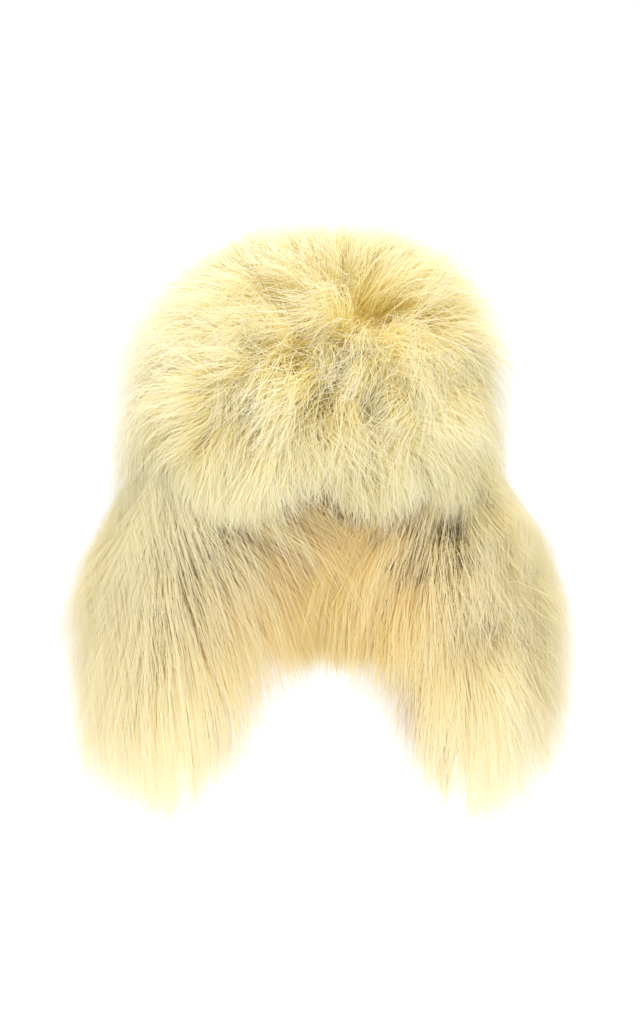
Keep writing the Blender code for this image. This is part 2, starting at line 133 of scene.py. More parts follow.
@dataclass(frozen=True)
class Span:
    """A stretch of a height, a distance or an angle, over which something sets in or ends.

    Attributes:
        start: Where it starts.
        end: Where it is complete.
    """

    start: float
    end: float

    def past(self, value: float) -> float:
        """How far something has set in at a value, as a soft step from 0 to 1."""
        share = clamp((value - self.start) / (self.end - self.start))
        return share * share * (3 - 2 * share)

    def before(self, value: float) -> float:
        """How much is left of it at a value, as a soft step from 1 to 0."""
        return 1 - self.past(value)


def steps(start: float, end: float, count: int) -> list[float]:
    """Evenly spaced values from start to end, both included.

    Args:
        start: The first value.
        end: The last value.
        count: The number of steps between them.

    Returns:
        The values, one more than the number of steps.
    """
    return [start + (end - start) * i / count for i in range(count + 1)]


def channel_light(value: float) -> float:
    """One channel of a screen's colour, from 0 to 255, as light from 0 to 1."""
    share = value / 255
    return share / 12.92 if share <= 0.04045 else ((share + 0.055) / 1.055) ** 2.4


def linear(colour: Colour) -> tuple[float, float, float, float]:
    """A colour as a screen shows it, from 0 to 255, turned into the light that a shader takes."""
    return (*(channel_light(v) for v in colour), 1.0)


# The hat's cloth


@dataclass(frozen=True)
class HatForm:
    """The surfaces of the hat's cloth, which the hair grows from.

    The head opening is an oval, the crown a squarish dome on it, and the flaps are bands that
    follow the oval.

    Attributes:
        half_width: Half the width of the head opening.
        half_length: Half its length.
        crown_depth: The depth of the crown's hollow.
        squareness: How square the dome is, where 2 is round.
        front_height: The height of the front flap.
        front_angle: The angle from its middle to its ends.
        front_lean: How far its top leans out.
        front_most: How far above its top a point may still lean out, as a share of the height.
        end_reach: The share of the rounding that its two ends go through.
        end_squareness: How square its ends are.
        end_rounding: How they round off, where 1 is straight.
        flare: How far the hanging flaps stand out in their middle.
        flare_span: The drop over which they swing out and in again.
        flare_angle: The angle round the hat where they stand out most.
    """

    half_width: float
    half_length: float
    crown_depth: float
    squareness: float = 3.8
    front_height: float = 0.104
    front_angle: float = 50.0
    front_lean: float = 0.016
    front_most: float = 1.15
    end_reach: float = 0.97
    end_squareness: float = 3.4
    end_rounding: float = 0.4
    flare: float = 0.033
    flare_span: float = 0.190
    flare_angle: float = 75.0

    @classmethod
    def measured(cls) -> "HatForm":
        """Reads the head opening and the crown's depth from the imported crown."""
        low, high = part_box("crown")
        return cls((high.x - low.x) / 2 - CLOTH, (high.y - low.y) / 2 - CLOTH, high.z - CLOTH)

    def rim_normal(self, angle: float) -> Vector:
        """Finds the level direction straight out of the rim.

        Args:
            angle: The angle round the hat.

        Returns:
            The direction.
        """
        turn = math.radians(angle)
        x, y = math.sin(turn) / self.half_width, -math.cos(turn) / self.half_length
        return Vector((x, y, 0)).normalized()

    def rim_direction(self, angle: float) -> Vector:
        """The level direction along the rim, the way that the angle grows."""
        return UP.cross(self.rim_normal(angle))

    def rim_place(self, angle: float, depth: float, height: float) -> Vector:
        """Finds a point straight above or below the rim, moved out by a depth.

        Args:
            angle: The angle round the hat.
            depth: How far out of the rim it is.
            height: Its height over the rim.

        Returns:
            The point.
        """
        turn = math.radians(angle)
        x, y = self.half_width * math.sin(turn), -self.half_length * math.cos(turn)
        return Vector((x, y, height)) + self.rim_normal(angle) * depth

    def crown_normal(self, angle: float, rise: float) -> Vector:
        """Finds the dome's outward normal.

        Args:
            angle: The angle round the hat.
            rise: The way up the dome, from 0 at the rim to 90 at the top.

        Returns:
            The normal.
        """
        base = self.crown_inside(angle, rise)
        reach = math.hypot(base.x / self.half_width, base.y / self.half_length)
        if reach < AT_TOP:
            return UP.copy()
        side = reach ** (self.squareness - 2)
        up = (base.z / self.crown_depth) ** (self.squareness - 1) / self.crown_depth
        x, y = side * base.x / self.half_width**2, side * base.y / self.half_length**2
        return Vector((x, y, up)).normalized()

    def crown_inside(self, angle: float, rise: float) -> Vector:
        """Finds a point on the inside of the crown.

        Args:
            angle: The angle round the hat.
            rise: The way up the dome, from 0 at the rim to 90 at the top.

        Returns:
            The point.
        """
        turn, lift = math.radians(angle), math.radians(rise)
        reach = max(math.cos(lift), 0.0) ** (2 / self.squareness)
        up = math.sin(lift) ** (2 / self.squareness)
        x = self.half_width * reach * math.sin(turn)
        y = -self.half_length * reach * math.cos(turn)
        return Vector((x, y, self.crown_depth * up))

    def crown_place(self, angle: float, rise: float) -> Vector:
        """A point on the outside of the crown."""
        return self.crown_inside(angle, rise) + self.crown_normal(angle, rise) * CLOTH

    def front_place(self, angle: float, height: float) -> Vector:
        """Finds a point on the outside of the turned-up front flap.

        Args:
            angle: The angle round the hat.
            height: The point's height over the rim.

        Returns:
            The point.
        """
        share = clamp(height / self.front_height, 0.0, self.front_most)
        depth = 2 * CLOTH + 2 * SEAM_GAP + self.front_lean * share
        return self.rim_place(angle, depth, height)

    def front_top(self, angle: float) -> float:
        """The height of the front flap's upper edge, which is round at its two ends."""
        share = self.end_reach * min(abs(angle) / self.front_angle, 1.0)
        return self.front_height * (1 - share**self.end_squareness) ** self.end_rounding

    def hanging_place(self, angle: float, drop: float, depth: float) -> Vector:
        """Finds a point of an ear flap or of the neck flap.

        Args:
            angle: The angle round the hat.
            drop: How far below the rim the point is.
            depth: How far out of the middle of the cloth it is.

        Returns:
            The point.
        """
        from_front = min(abs(angle), 360 - abs(angle))
        facing = max(math.cos(math.radians(from_front - self.flare_angle)), 0.0)
        flare = self.flare * facing * math.sin(math.pi * max(drop, 0.0) / self.flare_span)
        return self.rim_place(angle, CLOTH / 2 + flare + depth, -drop)


@dataclass(frozen=True)
class FlapOutline:
    """The front and rear angles of a hanging flap, in rows from the rim down.

    Attributes:
        drops: How far below the rim each row is.
        fronts: The angle of the front edge in each row.
        rears: The angle of the rear edge in each row.
    """

    drops: tuple[float, ...]
    fronts: tuple[float, ...]
    rears: tuple[float, ...]

    def edges(self, drop: float) -> tuple[float, float]:
        """Reads the two edge angles between the rows of the outline.

        Args:
            drop: How far below the rim they are.

        Returns:
            The front angle and the rear angle.
        """
        for i in range(len(self.drops) - 1):
            if drop <= self.drops[i + 1]:
                share = (drop - self.drops[i]) / (self.drops[i + 1] - self.drops[i])
                front = self.fronts[i] + (self.fronts[i + 1] - self.fronts[i]) * share
                rear = self.rears[i] + (self.rears[i + 1] - self.rears[i]) * share
                return front, rear
        return self.fronts[-1], self.rears[-1]


EAR_OUTLINE = FlapOutline(
    drops=(0.000, 0.040, 0.080, 0.110, 0.135, 0.153, 0.165),
    fronts=(41.0, 42.0, 45.0, 50.0, 57.0, 65.0, 75.0),
    rears=(124.0, 124.0, 119.0, 112.0, 104.0, 96.0, 86.0),
)
NECK_OUTLINE = FlapOutline(
    drops=(0.000, 0.040, 0.056, 0.066, 0.073, 0.078),
    fronts=(124.0, 124.3, 126.3, 130.2, 135.3, 140.8),
    rears=(236.0, 235.7, 233.7, 229.8, 224.7, 219.2),
)


# The roots of the hair


@dataclass
class Root:
    """How the hair leaves the cloth at one place, and how it lies from there.

    Attributes:
        place: Where the hair leaves the cloth.
        out: The way that it leaves.
        flow: The way that it lies over.
        rise: How far it stands off the cloth.
        length: How far it reaches along its flow.
        fall: How far its tip sinks under its own weight.
        share: How thickly it grows, where 1 is usual.
        gather: How far the tips of a tuft come together, from 0 to 1.
        wild: How far tufts turn and curl their own way, from 0 to 1.
        tone: How pale the hair is, from 0 to 1.
    """

    place: Vector
    out: Vector
    flow: Vector
    rise: float
    length: float
    fall: float = 0.0
    share: float = 1.0
    gather: float = 0.8
    wild: float = 0.3
    tone: float = 0.5


@dataclass
class Skin:
    """The mesh that the hair of one coat grows from.

    Attributes:
        roots: The roots at its corners.
        faces: The numbers of the four corners of each face.
    """

    roots: list[Root] = field(default_factory=list)
    faces: list[tuple[int, int, int, int]] = field(default_factory=list)

    def patch(
        self,
        rows: Sequence[float],
        columns: Sequence[float],
        root_at: Callable[[float, float], Root],
    ) -> None:
        """Adds a grid of roots.

        Args:
            rows: The values of the first measure, such as a height or a drop.
            columns: The values of the second measure, such as an angle or a share.
            root_at: Gives the root at a row's and a column's value.
        """
        start, wide = len(self.roots), len(columns)
        self.roots += [root_at(row, column) for row in rows for column in columns]
        for i in range(len(rows) - 1):
            for j in range(wide - 1):
                a = start + i * wide + j
                self.faces.append((a, a + 1, a + wide + 1, a + wide))

    def hair_area(self) -> float:
        """Measures the area that hair grows on, with each place counted by its share.

        Returns:
            The area, in square metres.
        """
        total = 0.0
        for face in self.faces:
            a, b, c, d = (self.roots[i].place for i in face)
            size = ((b - a).cross(c - a).length + (c - a).cross(d - a).length) / 2
            total += size * sum(self.roots[i].share for i in face) / 4
        return total

    def mesh(self, name: str) -> bpy.types.Mesh:
        """Makes the skin a mesh whose corners carry the values of their roots.

        Args:
            name: The mesh's name.

        Returns:
            The mesh.
        """
        mesh = bpy.data.meshes.new(name)
        mesh.from_pydata([r.place for r in self.roots], [], self.faces)
        for key in SKIN_WAYS:
            layer = mesh.attributes.new(key, "FLOAT_VECTOR", "POINT")
            flat = [v for r in self.roots for v in getattr(r, key).normalized()]
            layer.data.foreach_set("vector", flat)
        for key in SKIN_NUMBERS:
            layer = mesh.attributes.new(key, "FLOAT", "POINT")
            layer.data.foreach_set("value", [getattr(r, key) for r in self.roots])
        return mesh


# The tree that grows and shapes the hair


class Graph:
    """A Geometry Nodes tree in the making, with short calls for its nodes."""

    def __init__(self, name: str, inputs: dict[str, str]) -> None:
        """Starts a tree.

        Args:
            name: The tree's name.
            inputs: The name and socket type of each of its inputs.
        """
        self.group = bpy.data.node_groups.new(name, "GeometryNodeTree")
        for label, kind in inputs.items():
            self.group.interface.new_socket(name=label, in_out="INPUT", socket_type=kind)
        self.group.interface.new_socket(
            name="Coat", in_out="OUTPUT", socket_type="NodeSocketGeometry"
        )
        self.given = self.group.nodes.new("NodeGroupInput").outputs

    def feed(self, socket: bpy.types.NodeSocket, value: Value) -> None:
        """Links a socket to another, or gives it a plain value.

        Args:
            socket: The socket.
            value: What goes into it.
        """
        if isinstance(value, bpy.types.NodeSocket):
            self.group.links.new(value, socket)
        else:
            socket.default_value = value

    def node(self, kind: str, inputs: dict[str, Value], **settings: Value) -> bpy.types.Node:
        """Adds a node.

        Args:
            kind: The node's type.
            inputs: What goes into its sockets, by their names.
            **settings: The node's own settings.

        Returns:
            The node.
        """
        made = self.group.nodes.new(kind)
        for key, value in settings.items():
            setattr(made, key, value)
        for label, value in inputs.items():
            socket = next(s for s in made.inputs if s.name == label and s.enabled)
            self.feed(socket, value)
        return made

    def out(self, kind: str, inputs: dict[str, Value], **settings: Value) -> Value:
        """Adds a node and gives its first socket that is in use."""
        made = self.node(kind, inputs, **settings)
        return next(s for s in made.outputs if s.enabled)

    def math(self, operation: str, *values: Value) -> Value:
        """Works out a sum of numbers.

        Args:
            operation: The kind of sum.
            *values: The numbers.

        Returns:
            The result.
        """
        made = self.group.nodes.new("ShaderNodeMath")
        made.operation = operation
        for socket, value in zip(made.inputs, values):
            self.feed(socket, value)
        return made.outputs[0]

    def vector(self, operation: str, *values: Value) -> Value:
        """Works out a sum of vectors.

        Args:
            operation: The kind of sum.
            *values: The vectors.

        Returns:
            The result.
        """
        made = self.group.nodes.new("ShaderNodeVectorMath")
        made.operation = operation
        for socket, value in zip((s for s in made.inputs if s.enabled), values):
            self.feed(socket, value)
        return next(s for s in made.outputs if s.enabled)

    def total(self, *vectors: Value) -> Value:
        """Adds several vectors up.

        Args:
            *vectors: The vectors.

        Returns:
            Their sum.
        """
        result = vectors[0]
        for item in vectors[1:]:
            result = self.vector("ADD", result, item)
        return result

    def product(self, *values: Value) -> Value:
        """Multiplies several numbers.

        Args:
            *values: The numbers.

        Returns:
            Their product.
        """
        result = values[0]
        for item in values[1:]:
            result = self.math("MULTIPLY", result, item)
        return result

    def carried(self, name: str, kind: str = "FLOAT") -> Value:
        """A value that the skin carries."""
        return self.out("GeometryNodeInputNamedAttribute", {"Name": name}, data_type=kind)

    def chance(self, who: Value, turn: int, low: float = -1.0, high: float = 1.0) -> Value:
        """Draws an even random number for each tuft, lock or strand.

        Args:
            who: The number of the tuft, lock or strand.
            turn: What is added to the seed.
            low: The least number.
            high: The greatest number.

        Returns:
            The number.
        """
        seed = self.math("ADD", self.given["Seed"], turn)
        spread = {"Min": low, "Max": high, "ID": who, "Seed": seed}
        return self.out("FunctionNodeRandomValue", spread, data_type="FLOAT")

    def chance_vector(self, who: Value, turn: int) -> Value:
        """Draws a random vector for each tuft, lock or strand.

        Args:
            who: The number of the tuft, lock or strand.
            turn: What is added to the seed.

        Returns:
            The vector, from -1 to 1 on each axis.
        """
        seed = self.math("ADD", self.given["Seed"], turn)
        ends = {"Min": (-1.0, -1.0, -1.0), "Max": (1.0, 1.0, 1.0), "ID": who, "Seed": seed}
        return self.out("FunctionNodeRandomValue", ends, data_type="FLOAT_VECTOR")

    def finish(self, geometry: Value) -> None:
        """Sends the result out of the tree."""
        self.group.links.new(geometry, self.group.nodes.new("NodeGroupOutput").inputs[0])


@dataclass(frozen=True)
class HairCut:
    """The measures of a coat's hair, in metres and radians.

    Attributes:
        strands: The number of strands.
        segments: The straight stretches of a strand.
        width: A strand's width near its root.
        tip: The width at its tip, as a share.
        tuft: The distance between tufts.
        lock: The distance between locks.
        tuft_turn: How far a wild tuft may turn from the flow.
        lock_turn: How far a wild lock may turn from the flow.
        stray: How far a wild strand may turn from its tuft.
        ruffle: How far a wild tuft may lean from the way that it leaves the cloth.
        curl: How far a wild tuft swings to and fro.
        kink: How far a wild strand strays from its line at each joint.
        frizz: How far a strand's tip strays in any direction.
        uneven: How much shorter the shortest strands are, as a share.
        lock_gather: How far the tips of a lock come together, as a share.
        loose: The share of strands that keep out of the tufts.
        seed: The seed of all that is random in the coat.
    """

    strands: int
    segments: int = 4
    width: float = 0.0005
    tip: float = 0.18
    tuft: float = 0.0065
    lock: float = 0.017
    tuft_turn: float = 1.00
    lock_turn: float = 0.60
    stray: float = 0.35
    ruffle: float = 0.70
    curl: float = 0.0050
    kink: float = 0.0015
    frizz: float = 0.0022
    uneven: float = 0.52
    lock_gather: float = 0.25
    loose: float = 0.12
    seed: int = 1


@dataclass(frozen=True)
class HairHabit:
    """How the hair of every coat behaves between its root and its tip.

    A power says how late on the way to the tip something sets in, where 1 is evenly.

    Attributes:
        loose_freedom: How much less a loose strand is drawn in, as a share.
        loose_stray: How much further a loose strand strays, as a share.
        strand_ruffle: A strand's own part of its tuft's ruffle.
        short_power: How rare the shortest strands are.
        tame_uneven: The part of the unevenness that tame hair has.
        longest: The growth of the longest strands.
        tuft_growth: How far the growth of wild tufts differs.
        tuft_growths: The shortest and the longest of those differences.
        lock_growth: How far the growth of locks differs.
        lift_power: How late a strand rises.
        lift_turn: How far it goes on a wave that rises and sinks again, in radians.
        lie_power: How late it lies over.
        draw_power: How late its tuft draws it in.
        lock_power: How late its lock draws it in.
        splay_power: How late its tip frizzes.
        swing_turn: How far a curl swings on the whole way, in radians.
        tame_kink: The part of the kinks that tame hair has.
        kink_power: How late it kinks.
        sink_power: How late it sinks.
        twist: How far tame hair twists, in radians.
        wild_twist: How much further wild hair twists.
        taper_power: How late it grows thin.
        widths: The narrowest and the widest strand, as shares of the width.
        tuft_tone: How far the tones of wild tufts differ.
        strand_tone: How far chance sets a strand's tone, beside its length.
        tame_tone: How far the tones of tame strands differ.
        wild_tone: How much further those of wild strands differ.
        map_width: How wide a strand is on its map.
        map_ends: Where the root and the tip lie on the map.
    """

    loose_freedom: float = 0.75
    loose_stray: float = 1.5
    strand_ruffle: float = 0.4
    short_power: float = 1.2
    tame_uneven: float = 0.45
    longest: float = 1.12
    tuft_growth: float = 0.3
    tuft_growths: tuple[float, float] = (-1.0, 0.6)
    lock_growth: float = 0.07
    lift_power: float = 0.7
    lift_turn: float = 1.8
    lie_power: float = 1.35
    draw_power: float = 0.85
    lock_power: float = 1.5
    splay_power: float = 2.0
    swing_turn: float = 6.5
    tame_kink: float = 0.2
    kink_power: float = 0.5
    sink_power: float = 2.0
    twist: float = 0.12
    wild_twist: float = 0.6
    taper_power: float = 1.6
    widths: tuple[float, float] = (0.7, 1.25)
    tuft_tone: float = 0.14
    strand_tone: float = 0.5
    tame_tone: float = 0.03
    wild_tone: float = 0.66
    map_width: float = 0.03
    map_ends: tuple[float, float] = (0.02, 0.98)


class LongHair:
    """The Geometry Nodes tree that grows a coat's hair on its skin.

    MEASURES gives the tree's inputs and the measures of a cut that go into them. WHOLE names
    those that are whole numbers, and no strand has as many joints as MOST_JOINTS.
    """

    MEASURES = {
        "Segments": "segments",
        "Width": "width",
        "Tip": "tip",
        "Tuft Spacing": "tuft",
        "Lock Spacing": "lock",
        "Tuft Turn": "tuft_turn",
        "Lock Turn": "lock_turn",
        "Stray": "stray",
        "Ruffle": "ruffle",
        "Curl": "curl",
        "Kink": "kink",
        "Frizz": "frizz",
        "Uneven": "uneven",
        "Lock Gather": "lock_gather",
        "Loose": "loose",
        "Seed": "seed",
    }
    WHOLE = ("Segments", "Seed")
    MOST_JOINTS = 8.0

    def __init__(self, habit: HairHabit = HairHabit()) -> None:
        """Builds the tree once, for all coats.

        Args:
            habit: How the hair behaves.
        """
        inputs = {"Skin": "NodeSocketGeometry", "Density": "NodeSocketFloat"}
        for label in self.MEASURES:
            inputs[label] = "NodeSocketInt" if label in self.WHOLE else "NodeSocketFloat"
        inputs["Fibre"] = "NodeSocketMaterial"
        self.habit = habit
        self.graph = Graph("long_hair", inputs)
        self._build()

    def _centres(self, spacing: Value, turn: int) -> tuple[Value, Value]:
        """Scatters centres that strands gather round.

        Args:
            spacing: The least distance between centres.
            turn: What is added to the seed.

        Returns:
            The number of the centre that is nearest to a strand's root, and the way to it.
        """
        g = self.graph
        area = g.math("MULTIPLY", spacing, spacing)
        inputs = {
            "Mesh": g.given["Skin"],
            "Distance Min": spacing,
            "Density Max": g.math("DIVIDE", 2.0, area),
            "Density Factor": g.math("GREATER_THAN", g.carried("share"), BARE_SHARE),
            "Seed": g.math("ADD", g.given["Seed"], turn),
        }
        points = g.out(
            "GeometryNodeDistributePointsOnFaces", inputs, distribute_method="POISSON"
        )
        nearest = g.out("GeometryNodeSampleNearest", {"Geometry": points})
        place = g.out("GeometryNodeInputPosition", {})
        centre = g.out(
            "GeometryNodeSampleIndex",
            {"Geometry": points, "Value": place, "Index": nearest},
            data_type="FLOAT_VECTOR",
        )
        return nearest, g.vector("SUBTRACT", centre, place)

    def _capture(self, geometry: Value, values: dict[str, tuple[str, Value]]) -> dict[str, Value]:
        """Keeps values on the points as they are at this stage.

        Args:
            geometry: The points.
            values: The kind of each value and the value, by name.

        Returns:
            The values as they were kept, by name, and the points under "geometry".
        """
        node = self.graph.node("GeometryNodeCaptureAttribute", {"Geometry": geometry})
        for label, (kind, _) in values.items():
            node.capture_items.new(kind, label)
        for label, (_, value) in values.items():
            self.graph.feed(node.inputs[label], value)
        kept = {label: node.outputs[label] for label in values}
        kept["geometry"] = node.outputs["Geometry"]
        return kept

    def _scaled(self, vector: Value, size: Value) -> Value:
        """Scales a vector.

        Args:
            vector: The vector.
            size: The number that it is multiplied by.

        Returns:
            The scaled vector.
        """
        made = self.graph.node("ShaderNodeVectorMath", {}, operation="SCALE")
        self.graph.feed(made.inputs["Vector"], vector)
        self.graph.feed(made.inputs["Scale"], size)
        return made.outputs["Vector"]

    def _turned(self, vector: Value, axis: Value, angle: Value) -> Value:
        """A vector turned about an axis by an angle."""
        inputs = {"Vector": vector, "Center": (0.0, 0.0, 0.0), "Axis": axis, "Angle": angle}
        return self.graph.out("ShaderNodeVectorRotate", inputs, rotation_type="AXIS_ANGLE")

    def _roots(self) -> dict[str, Value]:
        """Scatters the roots and gives each its tuft, its lock and its own number.

        Returns:
            The values of the roots, by name, and the roots under "geometry".
        """
        g = self.graph
        scatter = {
            "Mesh": g.given["Skin"],
            "Density": g.math("MULTIPLY", g.given["Density"], g.carried("share")),
            "Seed": g.given["Seed"],
        }
        points = g.out("GeometryNodeDistributePointsOnFaces", scatter)
        tuft, to_tuft = self._centres(g.given["Tuft Spacing"], 101)
        lock, to_lock = self._centres(g.given["Lock Spacing"], 202)
        values = {
            "root": ("VECTOR", g.out("GeometryNodeInputPosition", {})),
            "strand": ("INT", g.out("GeometryNodeInputIndex", {})),
            "tuft": ("INT", tuft),
            "to_tuft": ("VECTOR", to_tuft),
            "lock": ("INT", lock),
            "to_lock": ("VECTOR", to_lock),
        }
        return self._capture(points, values)

    def _flow(self, kept: dict[str, Value], stray: Value) -> Value:
        """Turns the way that a strand lies: with its tuft, with its lock and on its own.

        Args:
            kept: The values of the strand's root.
            stray: How far the strand itself strays, as a share.

        Returns:
            The way that the strand lies.
        """
        g = self.graph
        own = g.product(g.chance(kept["strand"], 4), g.given["Stray"], stray)
        turn = g.math(
            "ADD",
            g.math("MULTIPLY", g.chance(kept["tuft"], 2), g.given["Tuft Turn"]),
            g.math("MULTIPLY_ADD", g.chance(kept["lock"], 3), g.given["Lock Turn"], own),
        )
        flow, out = g.carried("flow", "FLOAT_VECTOR"), g.carried("out", "FLOAT_VECTOR")
        return self._turned(flow, out, g.math("MULTIPLY", turn, g.carried("wild")))

    def _leaving(self, kept: dict[str, Value]) -> Value:
        """Ruffles the way that a strand leaves the cloth: with its tuft and on its own.

        Args:
            kept: The values of the strand's root.

        Returns:
            The way that the strand leaves.
        """
        g = self.graph
        ruffle = g.math("MULTIPLY", g.given["Ruffle"], g.carried("wild"))
        own = g.math("MULTIPLY", ruffle, self.habit.strand_ruffle)
        ruffled = g.total(
            g.carried("out", "FLOAT_VECTOR"),
            self._scaled(g.chance_vector(kept["tuft"], 5), ruffle),
            self._scaled(g.chance_vector(kept["strand"], 6), own),
        )
        return g.vector("NORMALIZE", ruffled)

    def _grown(self, kept: dict[str, Value]) -> Value:
        """Varies how far hair has grown, by strand, by tuft and by lock.

        Args:
            kept: The values of the strand's root.

        Returns:
            The strand's growth, as a share of the coat's length.
        """
        g, habit = self.graph, self.habit
        wild = g.carried("wild")
        short = g.math("POWER", g.chance(kept["strand"], 7, 0.0, 1.0), habit.short_power)
        tame = g.math("MULTIPLY_ADD", wild, 1 - habit.tame_uneven, habit.tame_uneven)
        uneven = g.product(g.given["Uneven"], tame)
        grown = g.math("SUBTRACT", habit.longest, g.math("MULTIPLY", short, uneven))
        by_tuft = g.math(
            "MULTIPLY",
            g.chance(kept["tuft"], 8, *habit.tuft_growths),
            g.math("MULTIPLY", wild, habit.tuft_growth),
        )
        by_lock = g.math("MULTIPLY_ADD", g.chance(kept["lock"], 9), habit.lock_growth, 1.0)
        return g.math("MULTIPLY", g.math("MULTIPLY", grown, g.math("ADD", by_tuft, 1.0)), by_lock)

    def _place(self, kept: dict[str, Value], along: Value, step: Value) -> Value:
        """Where a strand is, at a share of its way from root to tip.

        Args:
            kept: The values of the strand's root.
            along: The share of the way.
            step: The number of the joint there.

        Returns:
            The place.
        """
        g, habit = self.graph, self.habit
        strand, tuft = kept["strand"], kept["tuft"]
        wild, out = g.carried("wild"), g.carried("out", "FLOAT_VECTOR")
        loose = g.math("LESS_THAN", g.chance(strand, 1, 0.0, 1.0), g.given["Loose"])
        held = g.math("SUBTRACT", 1.0, g.math("MULTIPLY", loose, habit.loose_freedom))
        stray = g.math("MULTIPLY_ADD", loose, habit.loose_stray, 1.0)
        flow, grown = self._flow(kept, stray), self._grown(kept)

        rise = g.math("MULTIPLY", g.carried("rise"), grown)
        wave = g.math("MULTIPLY", g.math("POWER", along, habit.lift_power), habit.lift_turn)
        lift = g.math("MULTIPLY", rise, g.math("SINE", wave))
        reach = g.math("MULTIPLY", g.carried("length"), grown)
        lie = g.math("MULTIPLY", reach, g.math("POWER", along, habit.lie_power))
        drawn = g.math("POWER", along, habit.draw_power)
        gather = g.product(g.carried("gather"), drawn, held)
        lock_drawn = g.math("POWER", along, habit.lock_power)
        lock_gather = g.product(g.given["Lock Gather"], lock_drawn, held)

        side = g.vector("NORMALIZE", g.vector("CROSS_PRODUCT", flow, out))
        start = g.math("MULTIPLY", g.chance(tuft, 10), math.pi)
        swing = g.math("MULTIPLY_ADD", along, habit.swing_turn, start)
        curl = g.product(g.given["Curl"], wild, along)
        splay = g.math("POWER", along, habit.splay_power)
        frizz = g.product(g.given["Frizz"], splay, stray)
        joint = g.math("MULTIPLY_ADD", strand, self.MOST_JOINTS, step)
        tame = g.math("MULTIPLY_ADD", wild, 1 - habit.tame_kink, habit.tame_kink)
        kink = g.product(g.given["Kink"], tame, g.math("POWER", along, habit.kink_power))
        sink = g.product(g.carried("fall"), g.math("POWER", along, habit.sink_power))
        return g.total(
            kept["root"],
            self._scaled(kept["to_tuft"], gather),
            self._scaled(kept["to_lock"], lock_gather),
            self._scaled(self._leaving(kept), lift),
            self._scaled(flow, lie),
            self._scaled(side, g.math("MULTIPLY", g.math("SINE", swing), curl)),
            self._scaled(out, g.math("MULTIPLY", g.math("COSINE", swing), curl)),
            self._scaled(g.chance_vector(strand, 11), frizz),
            self._scaled(g.chance_vector(joint, 16), kink),
            g.out("ShaderNodeCombineXYZ", {"Z": g.math("MULTIPLY", sink, -1.0)}),
        )

    def _spines(self, kept: dict[str, Value], stage: dict[str, Value]) -> Value:
        """Makes a curve down the middle of each strand, turned flat to the cloth.

        Args:
            kept: The values of the roots.
            stage: The joints, with their numbers and their shares of the way.

        Returns:
            The curves.
        """
        g, habit = self.graph, self.habit
        place = self._place(kept, stage["along"], stage["step"])
        placed = g.out(
            "GeometryNodeSetPosition", {"Geometry": stage["geometry"], "Position": place}
        )
        spines = g.out(
            "GeometryNodePointsToCurves",
            {"Points": placed, "Curve Group ID": kept["strand"], "Weight": stage["step"]},
        )
        tangent = g.out("GeometryNodeInputTangent", {})
        across = g.vector("CROSS_PRODUCT", tangent, g.carried("out", "FLOAT_VECTOR"))
        twist = g.math("MULTIPLY_ADD", g.carried("wild"), habit.wild_twist, habit.twist)
        twist = g.math("MULTIPLY", g.chance(kept["strand"], 12), twist)
        normal = self._turned(g.vector("NORMALIZE", across), tangent, twist)
        return g.out("GeometryNodeSetCurveNormal", {"Curve": spines, "Normal": normal}, mode="FREE")

    def _ribbons(self, kept: dict[str, Value], along: Value, spines: Value) -> tuple[Value, Value]:
        """Makes the spines flat strands that narrow towards their tips.

        Args:
            kept: The values of the roots.
            along: The share of the way from root to tip.
            spines: The curves.

        Returns:
            The strands, and how far across its strand each corner lies.
        """
        g, habit = self.graph, self.habit
        narrow = g.math("SUBTRACT", 1.0, g.given["Tip"])
        taper = g.math("MULTIPLY", narrow, g.math("POWER", along, habit.taper_power))
        width = g.product(
            g.given["Width"],
            g.math("SUBTRACT", 1.0, taper),
            g.chance(kept["strand"], 13, *habit.widths),
        )
        line = g.out(
            "GeometryNodeCurvePrimitiveLine",
            {"Start": (-0.5, 0.0, 0.0), "End": (0.5, 0.0, 0.0)},
        )
        factor = g.node("GeometryNodeSplineParameter", {}).outputs["Factor"]
        section = self._capture(line, {"across": ("FLOAT", factor)})
        strands = g.out(
            "GeometryNodeCurveToMesh",
            {"Curve": spines, "Profile Curve": section["geometry"], "Scale": width},
        )
        return strands, section["across"]

    def _tone(self, kept: dict[str, Value]) -> Value:
        """Varies the tone that the skin carries, by tuft and by strand.

        Args:
            kept: The values of the roots.

        Returns:
            The strand's tone, from 0 to 1.
        """
        g, habit = self.graph, self.habit
        wild, strand = g.carried("wild"), kept["strand"]
        by_tuft = g.product(g.chance(kept["tuft"], 14), wild, habit.tuft_tone)
        short = g.math("SUBTRACT", 0.5, g.chance(strand, 7, 0.0, 1.0))
        by_strand = g.math(
            "MULTIPLY",
            g.math("MULTIPLY_ADD", g.chance(strand, 15), habit.strand_tone, short),
            g.math("MULTIPLY_ADD", wild, habit.wild_tone, habit.tame_tone),
        )
        tone = g.math("ADD", g.math("ADD", g.carried("tone"), by_tuft), by_strand)
        return g.out("ShaderNodeClamp", {"Value": tone, "Min": 0.0, "Max": 1.0})

